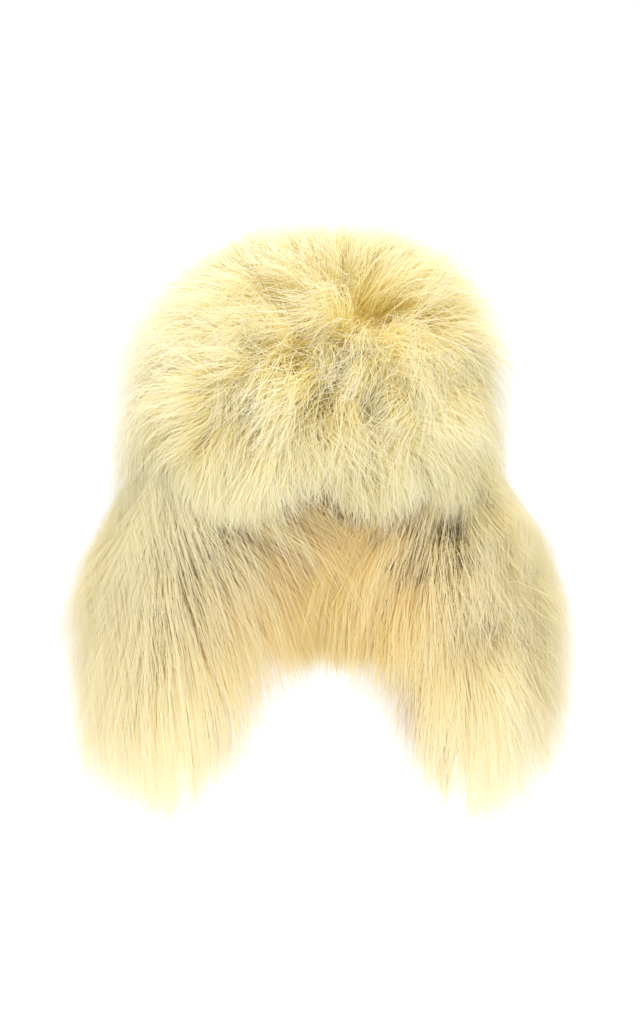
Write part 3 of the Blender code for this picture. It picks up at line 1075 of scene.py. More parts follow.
    def _mapped(self, kept: dict[str, Value], along: Value, strands: Value, across: Value) -> Value:
        """Writes the strands' map: their tone on X, and the way from root to tip on Y.

        Args:
            kept: The values of the roots.
            along: The share of the way from root to tip.
            strands: The strands.
            across: How far across its strand each corner lies.

        Returns:
            The strands with their map.
        """
        g, habit = self.graph, self.habit
        root_end, tip_end = habit.map_ends
        tone = g.math("MULTIPLY", self._tone(kept), 1 - habit.map_width)
        place = g.out(
            "ShaderNodeCombineXYZ",
            {
                "X": g.math("MULTIPLY_ADD", across, habit.map_width, tone),
                "Y": g.math("MULTIPLY_ADD", along, tip_end - root_end, root_end),
            },
        )
        return g.out(
            "GeometryNodeStoreNamedAttribute",
            {"Geometry": strands, "Name": STRAND_MAP, "Value": place},
            data_type="FLOAT2",
            domain="CORNER",
        )

    def _build(self) -> None:
        """Joins the stages: roots, joints, spines, flat strands and their map."""
        g = self.graph
        kept = self._roots()
        joints = g.math("ADD", g.given["Segments"], 1.0)
        spots = g.node(
            "GeometryNodeDuplicateElements",
            {"Geometry": kept["geometry"], "Amount": joints},
            domain="POINT",
        )
        step = spots.outputs["Duplicate Index"]
        share = g.math("DIVIDE", step, g.given["Segments"])
        values = {"step": ("INT", step), "along": ("FLOAT", share)}
        stage = self._capture(spots.outputs["Geometry"], values)
        strands, across = self._ribbons(kept, stage["along"], self._spines(kept, stage))
        coat = self._mapped(kept, stage["along"], strands, across)
        for label in SKIN_WAYS + SKIN_NUMBERS:
            coat = g.out("GeometryNodeRemoveAttribute", {"Geometry": coat, "Name": label})
        smooth = g.out("GeometryNodeSetShadeSmooth", {"Geometry": coat})
        real = g.out("GeometryNodeRealizeInstances", {"Geometry": smooth})
        dressed = {"Geometry": real, "Material": g.given["Fibre"]}
        g.finish(g.out("GeometryNodeSetMaterial", dressed))

    def grow(
        self, name: str, skin: Skin, cut: HairCut, fibre: bpy.types.Material
    ) -> bpy.types.Object:
        """Grows the hair of one coat.

        Args:
            name: The piece's name.
            skin: The mesh that the hair grows from.
            cut: The hair's measures.
            fibre: The hair's material.

        Returns:
            The coat, as a plain mesh at the origin.
        """
        base = bpy.data.objects.new(f"{name}_skin", skin.mesh(f"{name}_skin"))
        bpy.context.scene.collection.objects.link(base)
        modifier = base.modifiers.new("hair", "NODES")
        modifier.node_group = self.graph.group
        values = {label: getattr(cut, key) for label, key in self.MEASURES.items()}
        values["Density"] = cut.strands / skin.hair_area()
        values["Fibre"] = fibre
        for item in self.graph.group.interface.items_tree:
            if item.item_type == "SOCKET" and item.in_out == "INPUT" and item.name in values:
                modifier[item.identifier] = values[item.name]
        depsgraph = bpy.context.evaluated_depsgraph_get()
        mesh = bpy.data.meshes.new_from_object(base.evaluated_get(depsgraph))
        mesh.name = name
        coat = bpy.data.objects.new(name, mesh)
        bpy.context.scene.collection.objects.link(coat)
        bpy.data.objects.remove(base)
        return coat


# The finishes


@dataclass(frozen=True)
class Fibre:
    """Long dyed hair, whose colour runs from a deeper root to a pale tip: the deeper roots are
    partly the fibre's own colour and partly painted shade deep in the coat.

    Attributes:
        warm: The colours of a deep strand, from root to tip.
        pale: The colours of a pale strand, from root to tip.
        through: The share of the light that goes through it.
        stops: Where along the strand each colour lies.
        roughness: How dull its shine is.
        shine: The strength of its shine.
        sheen: The strength of the soft light on its edges.
        sheen_roughness: How wide that light spreads.
        sheen_tint: Its colour.
    """

    warm: tuple[Colour, ...]
    pale: tuple[Colour, ...]
    through: float
    stops: tuple[float, ...] = (0.0, 0.30, 0.62, 1.0)
    roughness: float = 0.62
    shine: float = 0.08
    sheen: float = 0.12
    sheen_roughness: float = 0.5
    sheen_tint: Colour = (255, 248, 225)

    def _ramp(
        self, tree: bpy.types.NodeTree, colours: Sequence[Colour], place: Value
    ) -> bpy.types.NodeSocket:
        """Makes a ramp of colours along the strand.

        Args:
            tree: The material's nodes.
            colours: The colours, from root to tip.
            place: Where on the way from root to tip a point lies.

        Returns:
            The colour there.
        """
        ramp = tree.nodes.new("ShaderNodeValToRGB")
        ramp.color_ramp.interpolation = "B_SPLINE"
        points = ramp.color_ramp.elements
        while len(points) < len(colours):
            points.new(0.5)
        for point, stop, colour in zip(points, self.stops, colours):
            point.position = stop
            point.color = linear(colour)
        tree.links.new(place, ramp.inputs["Fac"])
        return ramp.outputs["Color"]

    def _colour(self, tree: bpy.types.NodeTree) -> bpy.types.NodeSocket:
        """Mixes the deep and the pale ramp by the tone on the strands' own map.

        Args:
            tree: The material's nodes.

        Returns:
            The hair's colour.
        """
        where = tree.nodes.new("ShaderNodeUVMap")
        where.uv_map = STRAND_MAP
        split = tree.nodes.new("ShaderNodeSeparateXYZ")
        tree.links.new(where.outputs["UV"], split.inputs["Vector"])
        mix = tree.nodes.new("ShaderNodeMix")
        mix.data_type = "RGBA"
        tree.links.new(split.outputs["X"], mix.inputs["Factor"])
        for label, colours in (("A", self.warm), ("B", self.pale)):
            tree.links.new(self._ramp(tree, colours, split.outputs["Y"]), mix.inputs[label])
        return mix.outputs["Result"]

    def build(self, name: str) -> bpy.types.Material:
        """Makes the material: a soft shine, and light that comes through the hair.

        Args:
            name: The material's name.

        Returns:
            The material.
        """
        made = bpy.data.materials.new(name)
        made.use_nodes = True
        tree = made.node_tree
        shader, end = tree.nodes["Principled BSDF"], tree.nodes["Material Output"]
        colour = self._colour(tree)
        tree.links.new(colour, shader.inputs["Base Color"])
        shader.inputs["Roughness"].default_value = self.roughness
        shader.inputs["Specular IOR Level"].default_value = self.shine
        shader.inputs["Sheen Weight"].default_value = self.sheen
        shader.inputs["Sheen Roughness"].default_value = self.sheen_roughness
        shader.inputs["Sheen Tint"].default_value = linear(self.sheen_tint)
        glow = tree.nodes.new("ShaderNodeBsdfTranslucent")
        tree.links.new(colour, glow.inputs["Color"])
        both = tree.nodes.new("ShaderNodeMixShader")
        both.inputs["Fac"].default_value = self.through
        tree.links.new(shader.outputs["BSDF"], both.inputs[1])
        tree.links.new(glow.outputs["BSDF"], both.inputs[2])
        tree.links.new(both.outputs["Shader"], end.inputs["Surface"])
        return made


@dataclass(frozen=True)
class Weave:
    """Plain woven backing cloth.

    Attributes:
        thread: The colour of its threads.
        gap: The colour between them.
        pitch: The distance between threads, in metres.
        waves: About how many waves of scale 1 go into a metre.
        wander: How far a thread wanders from its line.
        wander_detail: How finely it wanders.
        slub_scale: How small the thick and thin stretches of its threads are.
        slub_detail: How much finer they go.
        slub: How much they lighten the cloth.
        gap_end: How light a gap's colour still is.
        thread_start: How light a thread's colour begins.
        relief: The strength of its relief.
        depth: The relief's depth, in metres.
        roughness: How dull it is.
        sheen: The strength of the soft light on it.
    """

    # The backing's own colours, set darker and deeper gold than the hair: where the cloth shows in
    # the front flap's notch and between tufts, this also stands for painted shade
    thread: Colour = (212, 182, 104)
    gap: Colour = (174, 142, 70)
    pitch: float = 0.0012
    waves: float = 3.14
    wander: float = 0.6
    wander_detail: float = 1.0
    slub_scale: float = 60.0
    slub_detail: float = 4.0
    slub: float = 0.5
    gap_end: float = 0.3
    thread_start: float = 1.1 / 1.2
    relief: float = 0.5
    depth: float = 0.0004
    roughness: float = 0.9
    sheen: float = 0.2

    def _threads(self, tree: bpy.types.NodeTree, place: Value) -> bpy.types.NodeSocket:
        """Lays two sets of threads across each other.

        Args:
            tree: The material's nodes.
            place: The place on the cloth.

        Returns:
            The height of the upper thread.
        """
        both = tree.nodes.new("ShaderNodeMath")
        both.operation = "MAXIMUM"
        for socket, direction in zip(both.inputs, ("Z", "DIAGONAL")):
            wave = tree.nodes.new("ShaderNodeTexWave")
            wave.bands_direction = direction
            wave.inputs["Scale"].default_value = 1 / (self.pitch * self.waves)
            wave.inputs["Distortion"].default_value = self.wander
            wave.inputs["Detail"].default_value = self.wander_detail
            tree.links.new(place, wave.inputs["Vector"])
            tree.links.new(wave.outputs["Fac"], socket)
        return both.outputs[0]

    def _shade(self, tree: bpy.types.NodeTree, place: Value, height: Value) -> bpy.types.NodeSocket:
        """Colours the threads and the gaps between them, with a slub along the threads.

        Args:
            tree: The material's nodes.
            place: The place on the cloth.
            height: The height of the threads.

        Returns:
            The cloth's colour.
        """
        slub = tree.nodes.new("ShaderNodeTexNoise")
        slub.inputs["Scale"].default_value = self.slub_scale
        slub.inputs["Detail"].default_value = self.slub_detail
        tree.links.new(place, slub.inputs["Vector"])
        shade = tree.nodes.new("ShaderNodeMath")
        shade.operation = "MULTIPLY_ADD"
        tree.links.new(slub.outputs["Fac"], shade.inputs[0])
        shade.inputs[1].default_value = self.slub
        tree.links.new(height, shade.inputs[2])
        ramp = tree.nodes.new("ShaderNodeValToRGB")
        stops = ((self.gap_end, self.gap), (self.thread_start, self.thread))
        for point, (stop, colour) in zip(ramp.color_ramp.elements, stops):
            point.position = stop
            point.color = linear(colour)
        tree.links.new(shade.outputs[0], ramp.inputs["Fac"])
        return ramp.outputs["Color"]

    def build(self, name: str) -> bpy.types.Material:
        """Makes the material, a plain weave on object coordinates.

        Args:
            name: The material's name.

        Returns:
            The material.
        """
        made = bpy.data.materials.new(name)
        made.use_nodes = True
        tree = made.node_tree
        shader = tree.nodes["Principled BSDF"]
        place = tree.nodes.new("ShaderNodeTexCoord").outputs["Object"]
        height = self._threads(tree, place)
        tree.links.new(self._shade(tree, place, height), shader.inputs["Base Color"])
        bump = tree.nodes.new("ShaderNodeBump")
        bump.inputs["Strength"].default_value = self.relief
        bump.inputs["Distance"].default_value = self.depth
        tree.links.new(height, bump.inputs["Height"])
        tree.links.new(bump.outputs["Normal"], shader.inputs["Normal"])
        shader.inputs["Roughness"].default_value = self.roughness
        shader.inputs["Sheen Weight"].default_value = self.sheen
        return made


# Each ramp's root is deeper than its tip, partly as the fibre's own colour and partly as painted
# shade deep in the coat
CREAM = ((247, 237, 196), (250, 243, 210), (252, 247, 220), (255, 252, 236))
BUTTER = Fibre(
    warm=((220, 196, 78), (234, 213, 116), (243, 230, 164), (250, 244, 210)),
    pale=((242, 228, 142), (249, 240, 196), (253, 250, 228), (255, 255, 250)),
    through=0.4,
)
# The deep ramps of GOLD and HONEY colour mostly the flaps' inner faces and front edges, where they
# are painted shade
GOLD = Fibre(
    warm=((222, 188, 86), (234, 203, 112), (241, 217, 138), (247, 233, 174)),
    pale=CREAM,
    through=0.55,
)
HONEY = Fibre(
    warm=((222, 184, 78), (232, 198, 98), (240, 212, 128), (248, 232, 172)),
    pale=CREAM,
    through=0.5,
)


# The coats


@dataclass(frozen=True)
class Drift:
    """A slow change over a coat, the same each time the script runs.

    Attributes:
        scale: How fast it changes, in changes to the metre.
        strength: How far it goes either way.
        shift: What sets it apart from other drifts.
    """

    scale: float
    strength: float
    shift: float = 0.0

    def at(self, place: Vector, more: float = 0.0) -> float:
        """The change at a place, with some more strength there."""
        shift = Vector((self.shift, self.shift, self.shift))
        return (self.strength + more) * noise.noise(place * self.scale + shift)


@dataclass
class Coat:
    """One coat of hair, which stands for the fur node of a part of the hat.

    Attributes:
        form: The hat's cloth.
        part: The name of the part.
        cut: The hair's measures.
        fibre: What the hair is like.
    """

    form: HatForm
    part: str
    cut: HairCut
    fibre: Fibre = BUTTER

    def skin(self) -> Skin:
        """The skin that the coat's hair grows from."""
        raise NotImplementedError

    def build(self, hair: LongHair) -> bpy.types.Object:
        """Grows the coat and fits it to the frame.

        Args:
            hair: The tree that grows it.

        Returns:
            The coat.
        """
        slot = f"{self.part}_pile"
        coat = hair.grow(f"{self.part}_coat", self.skin(), self.cut, self.fibre.build(slot))
        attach(coat, "root")
        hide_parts(f"{self.part}_fur")
        return coat


def turned(flow: Vector, axis: Vector, angle: float) -> Vector:
    """A direction turned about an axis."""
    return Matrix.Rotation(angle, 3, axis) @ flow


@dataclass
class CrownCoat(Coat):
    """The hair of the crown, which lies back over the top and down at the sides.

    Its front leaves from the whorl, and it is bare where the front flap covers it.

    Attributes:
        rises: The rows of the skin, from 0 at the rim to 90 at the top.
        columns: The number of its columns.
        rise: How far the hair stands off the cloth.
        length: How far it reaches along the cloth.
        top: The rises over which it turns from falling to lying back.
        front: The angles over which the pull of the whorl ends.
        brow: The heights over which that pull sets in.
        bare: The angles over which the bare front ends.
        bare_top: The heights over which it ends.
        whorl: The distances from the whorl's middle over which it fades.
        flank: How far to the right the hair begins to lie flattest.
        flank_foot: The heights over which that sets in.
        flank_top: The heights over which most of it ends.
        foot: The heights over which the hair's swell at the rim ends.
        sway: How the way that the hair lies changes over the dome, in radians.
    """

    rises: tuple[float, ...] = (
        0.4, 2, 5, 9, 15, 22, 31, 41, 52, 63, 73, 81, 86, 88.6, 89.6, 89.96,
    )
    columns: int = 48
    rise: float = 0.047
    length: float = 0.058
    top: Span = Span(30, 72)
    front: Span = Span(40, 85)
    brow: Span = Span(0.07, 0.10)
    bare: Span = Span(46, 52)
    bare_top: Span = Span(0.082, 0.100)
    whorl: Span = Span(0.03, 0.07)
    flank: float = 0.07
    flank_foot: Span = Span(0.0, 0.05)
    flank_top: Span = Span(0.085, 0.125)
    foot: Span = Span(0.0, 0.045)
    sway: Drift = Drift(scale=14, strength=0.6)

    def root(self, rise: float, angle: float) -> Root:
        """Sets how the hair leaves and lies at one place.

        Args:
            rise: The place's row, from 0 at the rim to 90 at the top.
            angle: The angle round the hat, from 0 to 360.

        Returns:
            The root there.
        """
        form = self.form
        place, out = form.crown_place(angle, rise), form.crown_normal(angle, rise)
        lower, upper = rise * JUST_BELOW, min(rise * JUST_ABOVE, 90)
        down = form.crown_place(angle, lower) - form.crown_place(angle, upper)
        front = 180 - abs(angle - 180)
        high = self.top.past(rise)
        facing = self.front.before(front) * self.brow.past(place.z) * (1 - 0.8 * high)
        away = place - WHORL
        away -= out * away.dot(out)
        flow = down.normalized() * (1 - high) + BACK * high
        flow = flow * (1 - facing) + away.normalized() * facing
        flow = turned(flow, out, self.sway.at(place))
        right = clamp(place.x / self.flank) * self.flank_foot.past(place.z)
        right *= 1 - 0.9 * self.flank_top.past(place.z)
        low = self.foot.before(place.z)
        near_whorl = self.whorl.before((place - WHORL).length)
        return Root(
            place=place,
            out=out,
            flow=flow,
            rise=self.rise * (1.03 - 0.28 * right + 0.34 * low - 0.13 * high),
            length=self.length * (1 - 0.22 * high) * (1 - 0.30 * facing),
            fall=0.004,
            share=1 - self.bare.before(front) * self.bare_top.before(place.z),
            gather=0.12 + 0.6 * near_whorl + 0.22 * facing * (1 - near_whorl),
            wild=0.12 + 0.8 * near_whorl + 0.20 * facing * (1 - near_whorl),
            # Painted light: the hair over the top of the dome is painted paler, where the light
            # falls on it
            tone=0.70 + 0.18 * high - 0.25 * near_whorl,
        )

    def skin(self) -> Skin:
        """Lays the skin over the whole dome.

        Returns:
            The skin.
        """
        skin = Skin()
        skin.patch(self.rises, steps(0, 360, self.columns), self.root)
        return skin


@dataclass
class FrontFlapCoat(Coat):
    """The hair of the turned-up front flap.

    It spreads wildly from the whorl in the upper half, hangs calmly in the lower half, and parts
    in a small notch in the middle of the hem, whose hair is painted deeper as painted shade.

    Attributes:
        rows: The number of the skin's rows.
        columns: The number of its columns.
        rise: How far the hair stands off the cloth.
        length: The longest reach of the hair that hangs.
        upper_length: How far the hair of the upper half reaches.
        right_length: How much further it reaches on the right.
        fan_x: Where the hair hangs straight down.
        fan: How far it fans out for each metre from there.
        settled: The depths under the flap's top over which it comes to hang.
        crest: The depth under the upper edge in which it stands up.
        upper: The heights over which the upper half begins.
        fringe: The heights over which the fringe over the brow ends.
        hem: The heights over which the wild hem ends.
        thin_hem: The heights over which the thin hem ends.
        right: The places over which the right part begins.
        middle_x: The middle of the notch.
        middle: The distances from there over which the notch ends.
        notch: The heights over which it ends.
        above_notch: The heights over which the shorter hair above it ends.
        end_angle: Where the flap's two ends begin.
        end_span: How many degrees they take up.
        whorl_core: How far from the whorl's middle the hair begins to turn away from it.
        shortest: The least reach of the hair that hangs.
        hem_room: How far above the brow it ends at most.
        sway: How the way that the hair lies changes over the flap, in radians.
        upper_sway: How much further it changes in the upper half.
        ragged: How the length of the hair that hangs changes over the flap, as a share.
    """

    rows: int = 18
    columns: int = 36
    rise: float = 0.044
    length: float = 0.040
    upper_length: float = 0.026
    right_length: float = 0.012
    fan_x: float = -0.012
    fan: float = 6.0
    settled: Span = Span(0.012, 0.060)
    crest: float = 0.020
    upper: Span = Span(0.050, 0.078)
    fringe: Span = Span(0.0, 0.040)
    hem: Span = Span(0.004, 0.026)
    thin_hem: Span = Span(0.004, 0.022)
    right: Span = Span(0.02, 0.06)
    middle_x: float = 0.003
    middle: Span = Span(0.008, 0.028)
    notch: Span = Span(0.010, 0.042)
    above_notch: Span = Span(0.045, 0.070)
    end_angle: float = 38.0
    end_span: float = 12.0
    whorl_core: float = 0.006
    shortest: float = 0.010
    hem_room: float = 0.006
    sway: Drift = Drift(scale=22, strength=0.35, shift=3.0)
    upper_sway: float = 0.3
    ragged: Drift = Drift(scale=55, strength=0.7, shift=7.0)

    def root(self, share: float, angle: float) -> Root:
        """Sets how the hair leaves and lies at one place.

        Args:
            share: The share of the way from the hem to the flap's upper edge.
            angle: The angle round the hat, from the middle of the brow.

        Returns:
            The root there.
        """
        form = self.form
        top = form.front_top(angle)
        height = LOWEST + (top - LOWEST) * share
        place = form.front_place(angle, height)
        normal, along = form.rim_normal(angle), form.rim_direction(angle)
        away = place - WHORL
        away -= normal * away.dot(normal)
        away = away / (away.length + self.whorl_core)
        settled = self.settled.past(form.front_height - height)
        fan = (place.x - self.fan_x) * self.fan
        near_top = clamp(1 - (top - height) / self.crest)
        upper = self.upper.past(height)
        flow = away * (1 - settled) + (along * fan - UP) * settled
        flow += (UP * 0.4 - normal * 0.4) * near_top**1.5
        flow = turned(flow, normal, self.sway.at(place, self.upper_sway * upper))
        near_end = clamp((abs(angle) - self.end_angle) / self.end_span)
        fringe, hem = self.fringe.before(height), self.hem.before(height)
        right = self.right.past(place.x)
        middle = self.middle.before(abs(place.x - self.middle_x))
        notch, above = middle * self.notch.before(height), middle * self.above_notch.before(height)
        out = normal + UP * (1.1 * near_top**1.3 + 0.12 * fringe)
        out += along * math.copysign(0.8 * near_end, angle)
        hanging = clamp(height - self.hem_room, self.shortest, self.length)
        hanging *= (1 + self.ragged.at(place)) * (1 - 0.45 * above)
        standing = self.upper_length + self.right_length * right
        return Root(
            place=place,
            out=out,
            flow=flow,
            rise=self.rise * (0.80 + 0.20 * upper - 0.36 * fringe) * (1 - 0.65 * notch),
            length=hanging * (1 - upper) + standing * upper,
            fall=0.002 + 0.010 * upper,
            share=(1 - 0.35 * self.thin_hem.before(height)) * (1 - 0.80 * notch),
            gather=0.12 + 0.74 * upper,
            wild=0.14 + 0.86 * upper * (1 - 0.3 * right) + 0.50 * max(hem, above),
            # Painted shade: the hair in the notch is painted deeper, as the shade in its hollow
            tone=0.42 + 0.02 * upper - 0.42 * notch,
        )

    def skin(self) -> Skin:
        """Lays the skin on the flap's outer face, up to its upper edge.

        Returns:
            The skin.
        """
        skin, angle = Skin(), self.form.front_angle
        skin.patch(steps(0, 1, self.rows), steps(-angle, angle, self.columns), self.root)
        return skin


@dataclass(frozen=True)
class Parting:
    """A line down a flap, from which the hair falls away to both sides.

    Attributes:
        top: The angle and the drop of its upper end.
        end: The angle and the drop of its lower end.
        strength: How clear it is, from 0 to 1.
        spread: How far from the line the hair still turns, in metres.
        fade: How far beyond its ends it fades, in metres.
        crease: How wide its deepest part is, as a share of the spread.
        ridge: Where the hair behind it has turned in full, as a share of the spread.
        ahead: How far the hair before it turns the other way, as a share.
        turn: How far the hair turns, as a share of its length.
    """

    top: tuple[float, float]
    end: tuple[float, float]
    strength: float = 1.0
    spread: float = 0.020
    fade: float = 0.02
    crease: float = 0.35
    ridge: float = 0.3
    ahead: float = 0.3
    turn: float = 0.5

    def behind(self, angle: float, drop: float) -> tuple[float, float]:
        """Measures where a root is from the line.

        Args:
            angle: The root's angle round the hat.
            drop: How far it is below the rim.

        Returns:
            How far behind the line it is, and how far beyond its ends, in metres.
        """
        share = (drop - self.top[1]) / (self.end[1] - self.top[1])
        middle = self.top[0] + (self.end[0] - self.top[0]) * clamp(share)
        beyond = max(drop - self.end[1], self.top[1] - drop, 0.0)
        return math.radians(angle - middle) * FLAP_RADIUS, beyond

    def pull(self, angle: float, drop: float) -> tuple[float, float, float]:
        """Works out what the line does to a root.

        Args:
            angle: The root's angle round the hat.
            drop: How far it is below the rim.

        Returns:
            How near it is to the line, how deep in it, and how far the line turns its hair.
        """
        behind, beyond = self.behind(angle, drop)
        faded = self.strength * math.exp(-((beyond / self.fade) ** 2))
        near = faded * math.exp(-((behind / self.spread) ** 2))
        deep = faded * math.exp(-((behind / (self.crease * self.spread)) ** 2))
        turn = clamp(behind / (self.ridge * self.spread), -self.ahead, 1.0)
        return near, deep, turn * near * self.turn


@dataclass(frozen=True)
class Spot:
    """Where a root is on a hanging flap, in metres and in shares from 0 to 1.

    Attributes:
        face: The face of the flap.
        angle: The angle round the hat.
        drop: How far below the rim it is.
        share: The share of the way from the front edge to the rear one.
        to_front: The distance to the front edge.
        near_front: How near the front edge it is.
        near_rear: How near the rear edge it is.
        near_end: How near the lower end it is.
        at_brow: How near the brow it is.
        low: How far down the lower half it is.
        inward: How far its hair leaves towards the middle of the face.
        near_line: How near the parting it is.
        deep: How deep in the parting it is.
        lean: How far the parting turns its hair.
    """

    face: Face
    angle: float
    drop: float
    share: float
    to_front: float
    near_front: float
    near_rear: float
    near_end: float
    at_brow: float
    low: float
    inward: float
    near_line: float
    deep: float
    lean: float


@dataclass
class HangingCoat(Coat):
    """The hair on both faces of a flap that hangs from the rim.

    Attributes:
        outline: The flap's outline.
        side: The side of the hat that it is on.
        rows: The number of the skin's rows.
        columns: The number of its columns.
        rises: How far the hair stands off each face.
        tones: How pale it is on each face; the inner face's low tone is painted shade.
        length: How far it reaches.
        shortest: The least that it reaches.
        level: How far below the rim it ends.
        rounding: How much higher it ends at the front and at the rear edge.
        edge: How wide the flap's edges are.
        edge_tone: How much deeper the tone of the front edge is, as painted shade.
        brow: The drops over which what is at the brow ends.
        lower: The drops over which the hair grows longer.
        edge_tone_fade: The drops over which the painted shade of the front edge ends.
        half: The shares of the flap's drop over which its lower half begins.
        swell: The shares of the flap's drop over which its upper swell ends.
        parting: The line that the outer hair parts on, if there is one.
        sway: How the way that the hair lies changes over a flap, in radians.
    """

    outline: FlapOutline = EAR_OUTLINE
    side: Side = Side.RIGHT
    rows: int = 20
    columns: int = 24
    rises: dict[Face, float] = field(default_factory=lambda: {Face.OUTER: 0.049, Face.INNER: 0.032})
    # An inner face's low tone is painted shade: its hair is painted deep gold, as the shade inside
    # the hat
    tones: dict[Face, float] = field(default_factory=lambda: {Face.OUTER: 0.92, Face.INNER: 0.05})
    length: float = 0.058
    shortest: float = 0.018
    level: float = 0.183
    rounding: tuple[float, float] = (0.012, 0.068)
    edge: float = 0.022
    edge_tone: float = 0.0
    brow: Span = Span(0.020, 0.055)
    lower: Span = Span(0.06, 0.10)
    edge_tone_fade: Span = Span(0.04, 0.10)
    half: tuple[float, float] = (0.45, 1.0)
    swell: tuple[float, float] = (0.25, 0.60)
    parting: Parting | None = None
    sway: Drift = Drift(scale=16, strength=0.14, shift=2.0)

    def mirrored(self, vector: Vector) -> Vector:
        """A vector on the flap's own side of the hat."""
        return Vector((vector.x * self.side.value, vector.y, vector.z))

    def flow(self, to_front: float, drop: float) -> Vector:
        """The way that the hair lies, straight down. An ear flap sets its own."""
        return DOWN.copy()

    def inward(self, to_front: float, drop: float) -> float:
        """How far the hair leaves towards the middle of the face. An ear flap sets its own."""
        return 0.0

    def brow_swell(self, to_front: float, drop: float) -> float:
        """How far the hair swells out to the front flap's hem. An ear flap sets its own."""
        return 0.0

    def spot(self, drop: float, share: float, face: Face) -> Spot:
        """Measures where a root is on the flap.

        Args:
            drop: How far below the rim it is.
            share: The share of the way from the front edge to the rear one.
            face: The face of the flap.

        Returns:
            The measures.
        """
        deepest = self.outline.drops[-1]
        front, rear = self.outline.edges(drop)
        angle = front + (rear - front) * share
        span = math.radians(rear - front) * FLAP_RADIUS
        to_front, to_rear = span * share, span * (1 - share)
        near_line, deep, lean = 0.0, 0.0, 0.0
        if self.parting and face is Face.OUTER:
            near_line, deep, lean = self.parting.pull(angle, drop)
        return Spot(
            face=face,
            angle=angle,
            drop=drop,
            share=share,
            to_front=to_front,
            near_front=clamp(1 - to_front / self.edge),
            near_rear=clamp(1 - to_rear / self.edge),
            near_end=clamp(1 - (deepest - drop) / (2 * self.edge)),
            at_brow=self.brow.before(drop),
            low=Span(self.half[0] * deepest, self.half[1] * deepest).past(drop),
            inward=self.inward(to_front, drop),
            near_line=near_line,
            deep=deep,
            lean=lean,
        )

    def base(self, spot: Spot) -> tuple[Vector, Vector]:
        """Finds the flap's cloth at a spot, before mirroring.

        Args:
            spot: The spot.

        Returns:
            The place and the outward normal.
        """
        form, depth = self.form, spot.face.value * CLOTH / 2
        place = form.hanging_place(spot.angle, spot.drop, depth)
        along = form.hanging_place(spot.angle + STEP_ANGLE, spot.drop, depth) - place
        down = form.hanging_place(spot.angle, spot.drop + STEP_DROP, depth) - place
        return place, down.cross(along).normalized() * spot.face.value

    def leaving(self, spot: Spot, normal: Vector, forward: Vector) -> Vector:
        """Turns the way that the hair leaves: out round the edges and down at the end.

        Args:
            spot: The spot.
            normal: The outward normal there.
            forward: The way to the front edge.

        Returns:
            The way that the hair leaves.
        """
        edge = max(spot.near_front, spot.near_rear)
        out = normal * (1 - 0.45 * edge) * (1 - 0.75 * spot.near_end)
        edges = spot.near_front * (0.7 + 0.5 * spot.at_brow) - spot.near_rear * 0.5
        out += forward * edges * (1 - 0.7 * spot.near_end)
        out += DOWN * spot.near_end * 0.30
        out += FACE_MIDDLE * spot.inward
        if spot.face is Face.OUTER:
            out += UP * 0.3 * clamp(1 - spot.drop / self.edge)
        return out

    def standing(self, spot: Spot) -> float:
        """Works out how far the hair stands off the cloth.

        Args:
            spot: The spot.

        Returns:
            The distance.
        """
        deepest = self.outline.drops[-1]
        swell = Span(-0.02, 0.02).past(spot.drop)
        swell *= Span(self.swell[0] * deepest, self.swell[1] * deepest).before(spot.drop)
        more = 1 + 0.26 * swell - 0.40 * spot.low - 0.25 * spot.deep + 0.18 * spot.inward
        more += 0.42 * self.brow_swell(spot.to_front, spot.drop)
        return self.rises[spot.face] * more * (1 - 0.40 * spot.near_end)

    def reach(self, spot: Spot) -> float:
        """Works out how far the hair reaches, so that it ends at the flap's level.

        Args:
            spot: The spot.

        Returns:
            The distance.
        """
        longer = 0.25 * self.lower.past(spot.drop) + 0.2 * spot.near_front * spot.at_brow
        rounding = self.rounding[0] if spot.share < 0.5 else self.rounding[1]
        room = self.level - rounding * (2 * spot.share - 1) ** 2 - spot.drop
        length = max(min(self.length * (1 + longer), room), self.shortest)
        length *= 1 - 0.12 * clamp(spot.inward)
        return length * (1.0 if spot.face is Face.OUTER else 0.9)

    def thickness(self, spot: Spot) -> float:
        """Works out how thickly the hair grows, most at the brow and the front edge.

        Args:
            spot: The spot.

        Returns:
            The share, where 1 is usual.
        """
        share = (1.0 if spot.face is Face.OUTER else 0.75) + 0.7 * spot.at_brow
        share += (0.8 + 0.5 * spot.at_brow) * spot.near_front + 0.4 * spot.inward
        return share * (1 - 0.1 * spot.deep)

    def paleness(self, spot: Spot) -> float:
        """Works out how pale the hair is, with painted shade: deepest inside, in the parting and at
        the front edge.

        Args:
            spot: The spot.

        Returns:
            The tone.
        """
        # Painted shade: the hair along the front edge is painted deeper, most near the rim and gone
        # lower down
        edge = spot.near_front**2 * self.edge_tone_fade.before(spot.drop)
        # Painted shade: the hair deep in the parting is painted deeper
        tone = self.tones[spot.face] - 0.2 * spot.deep - self.edge_tone * edge
        if spot.face is Face.INNER:
            # Painted shade inside the hat: the inner face is painted paler towards its front edge,
            # its lower end and its lower half, where the hollow opens out
            tone += 0.65 * max(spot.near_front, spot.near_end, 0.6 * spot.low)
        return tone

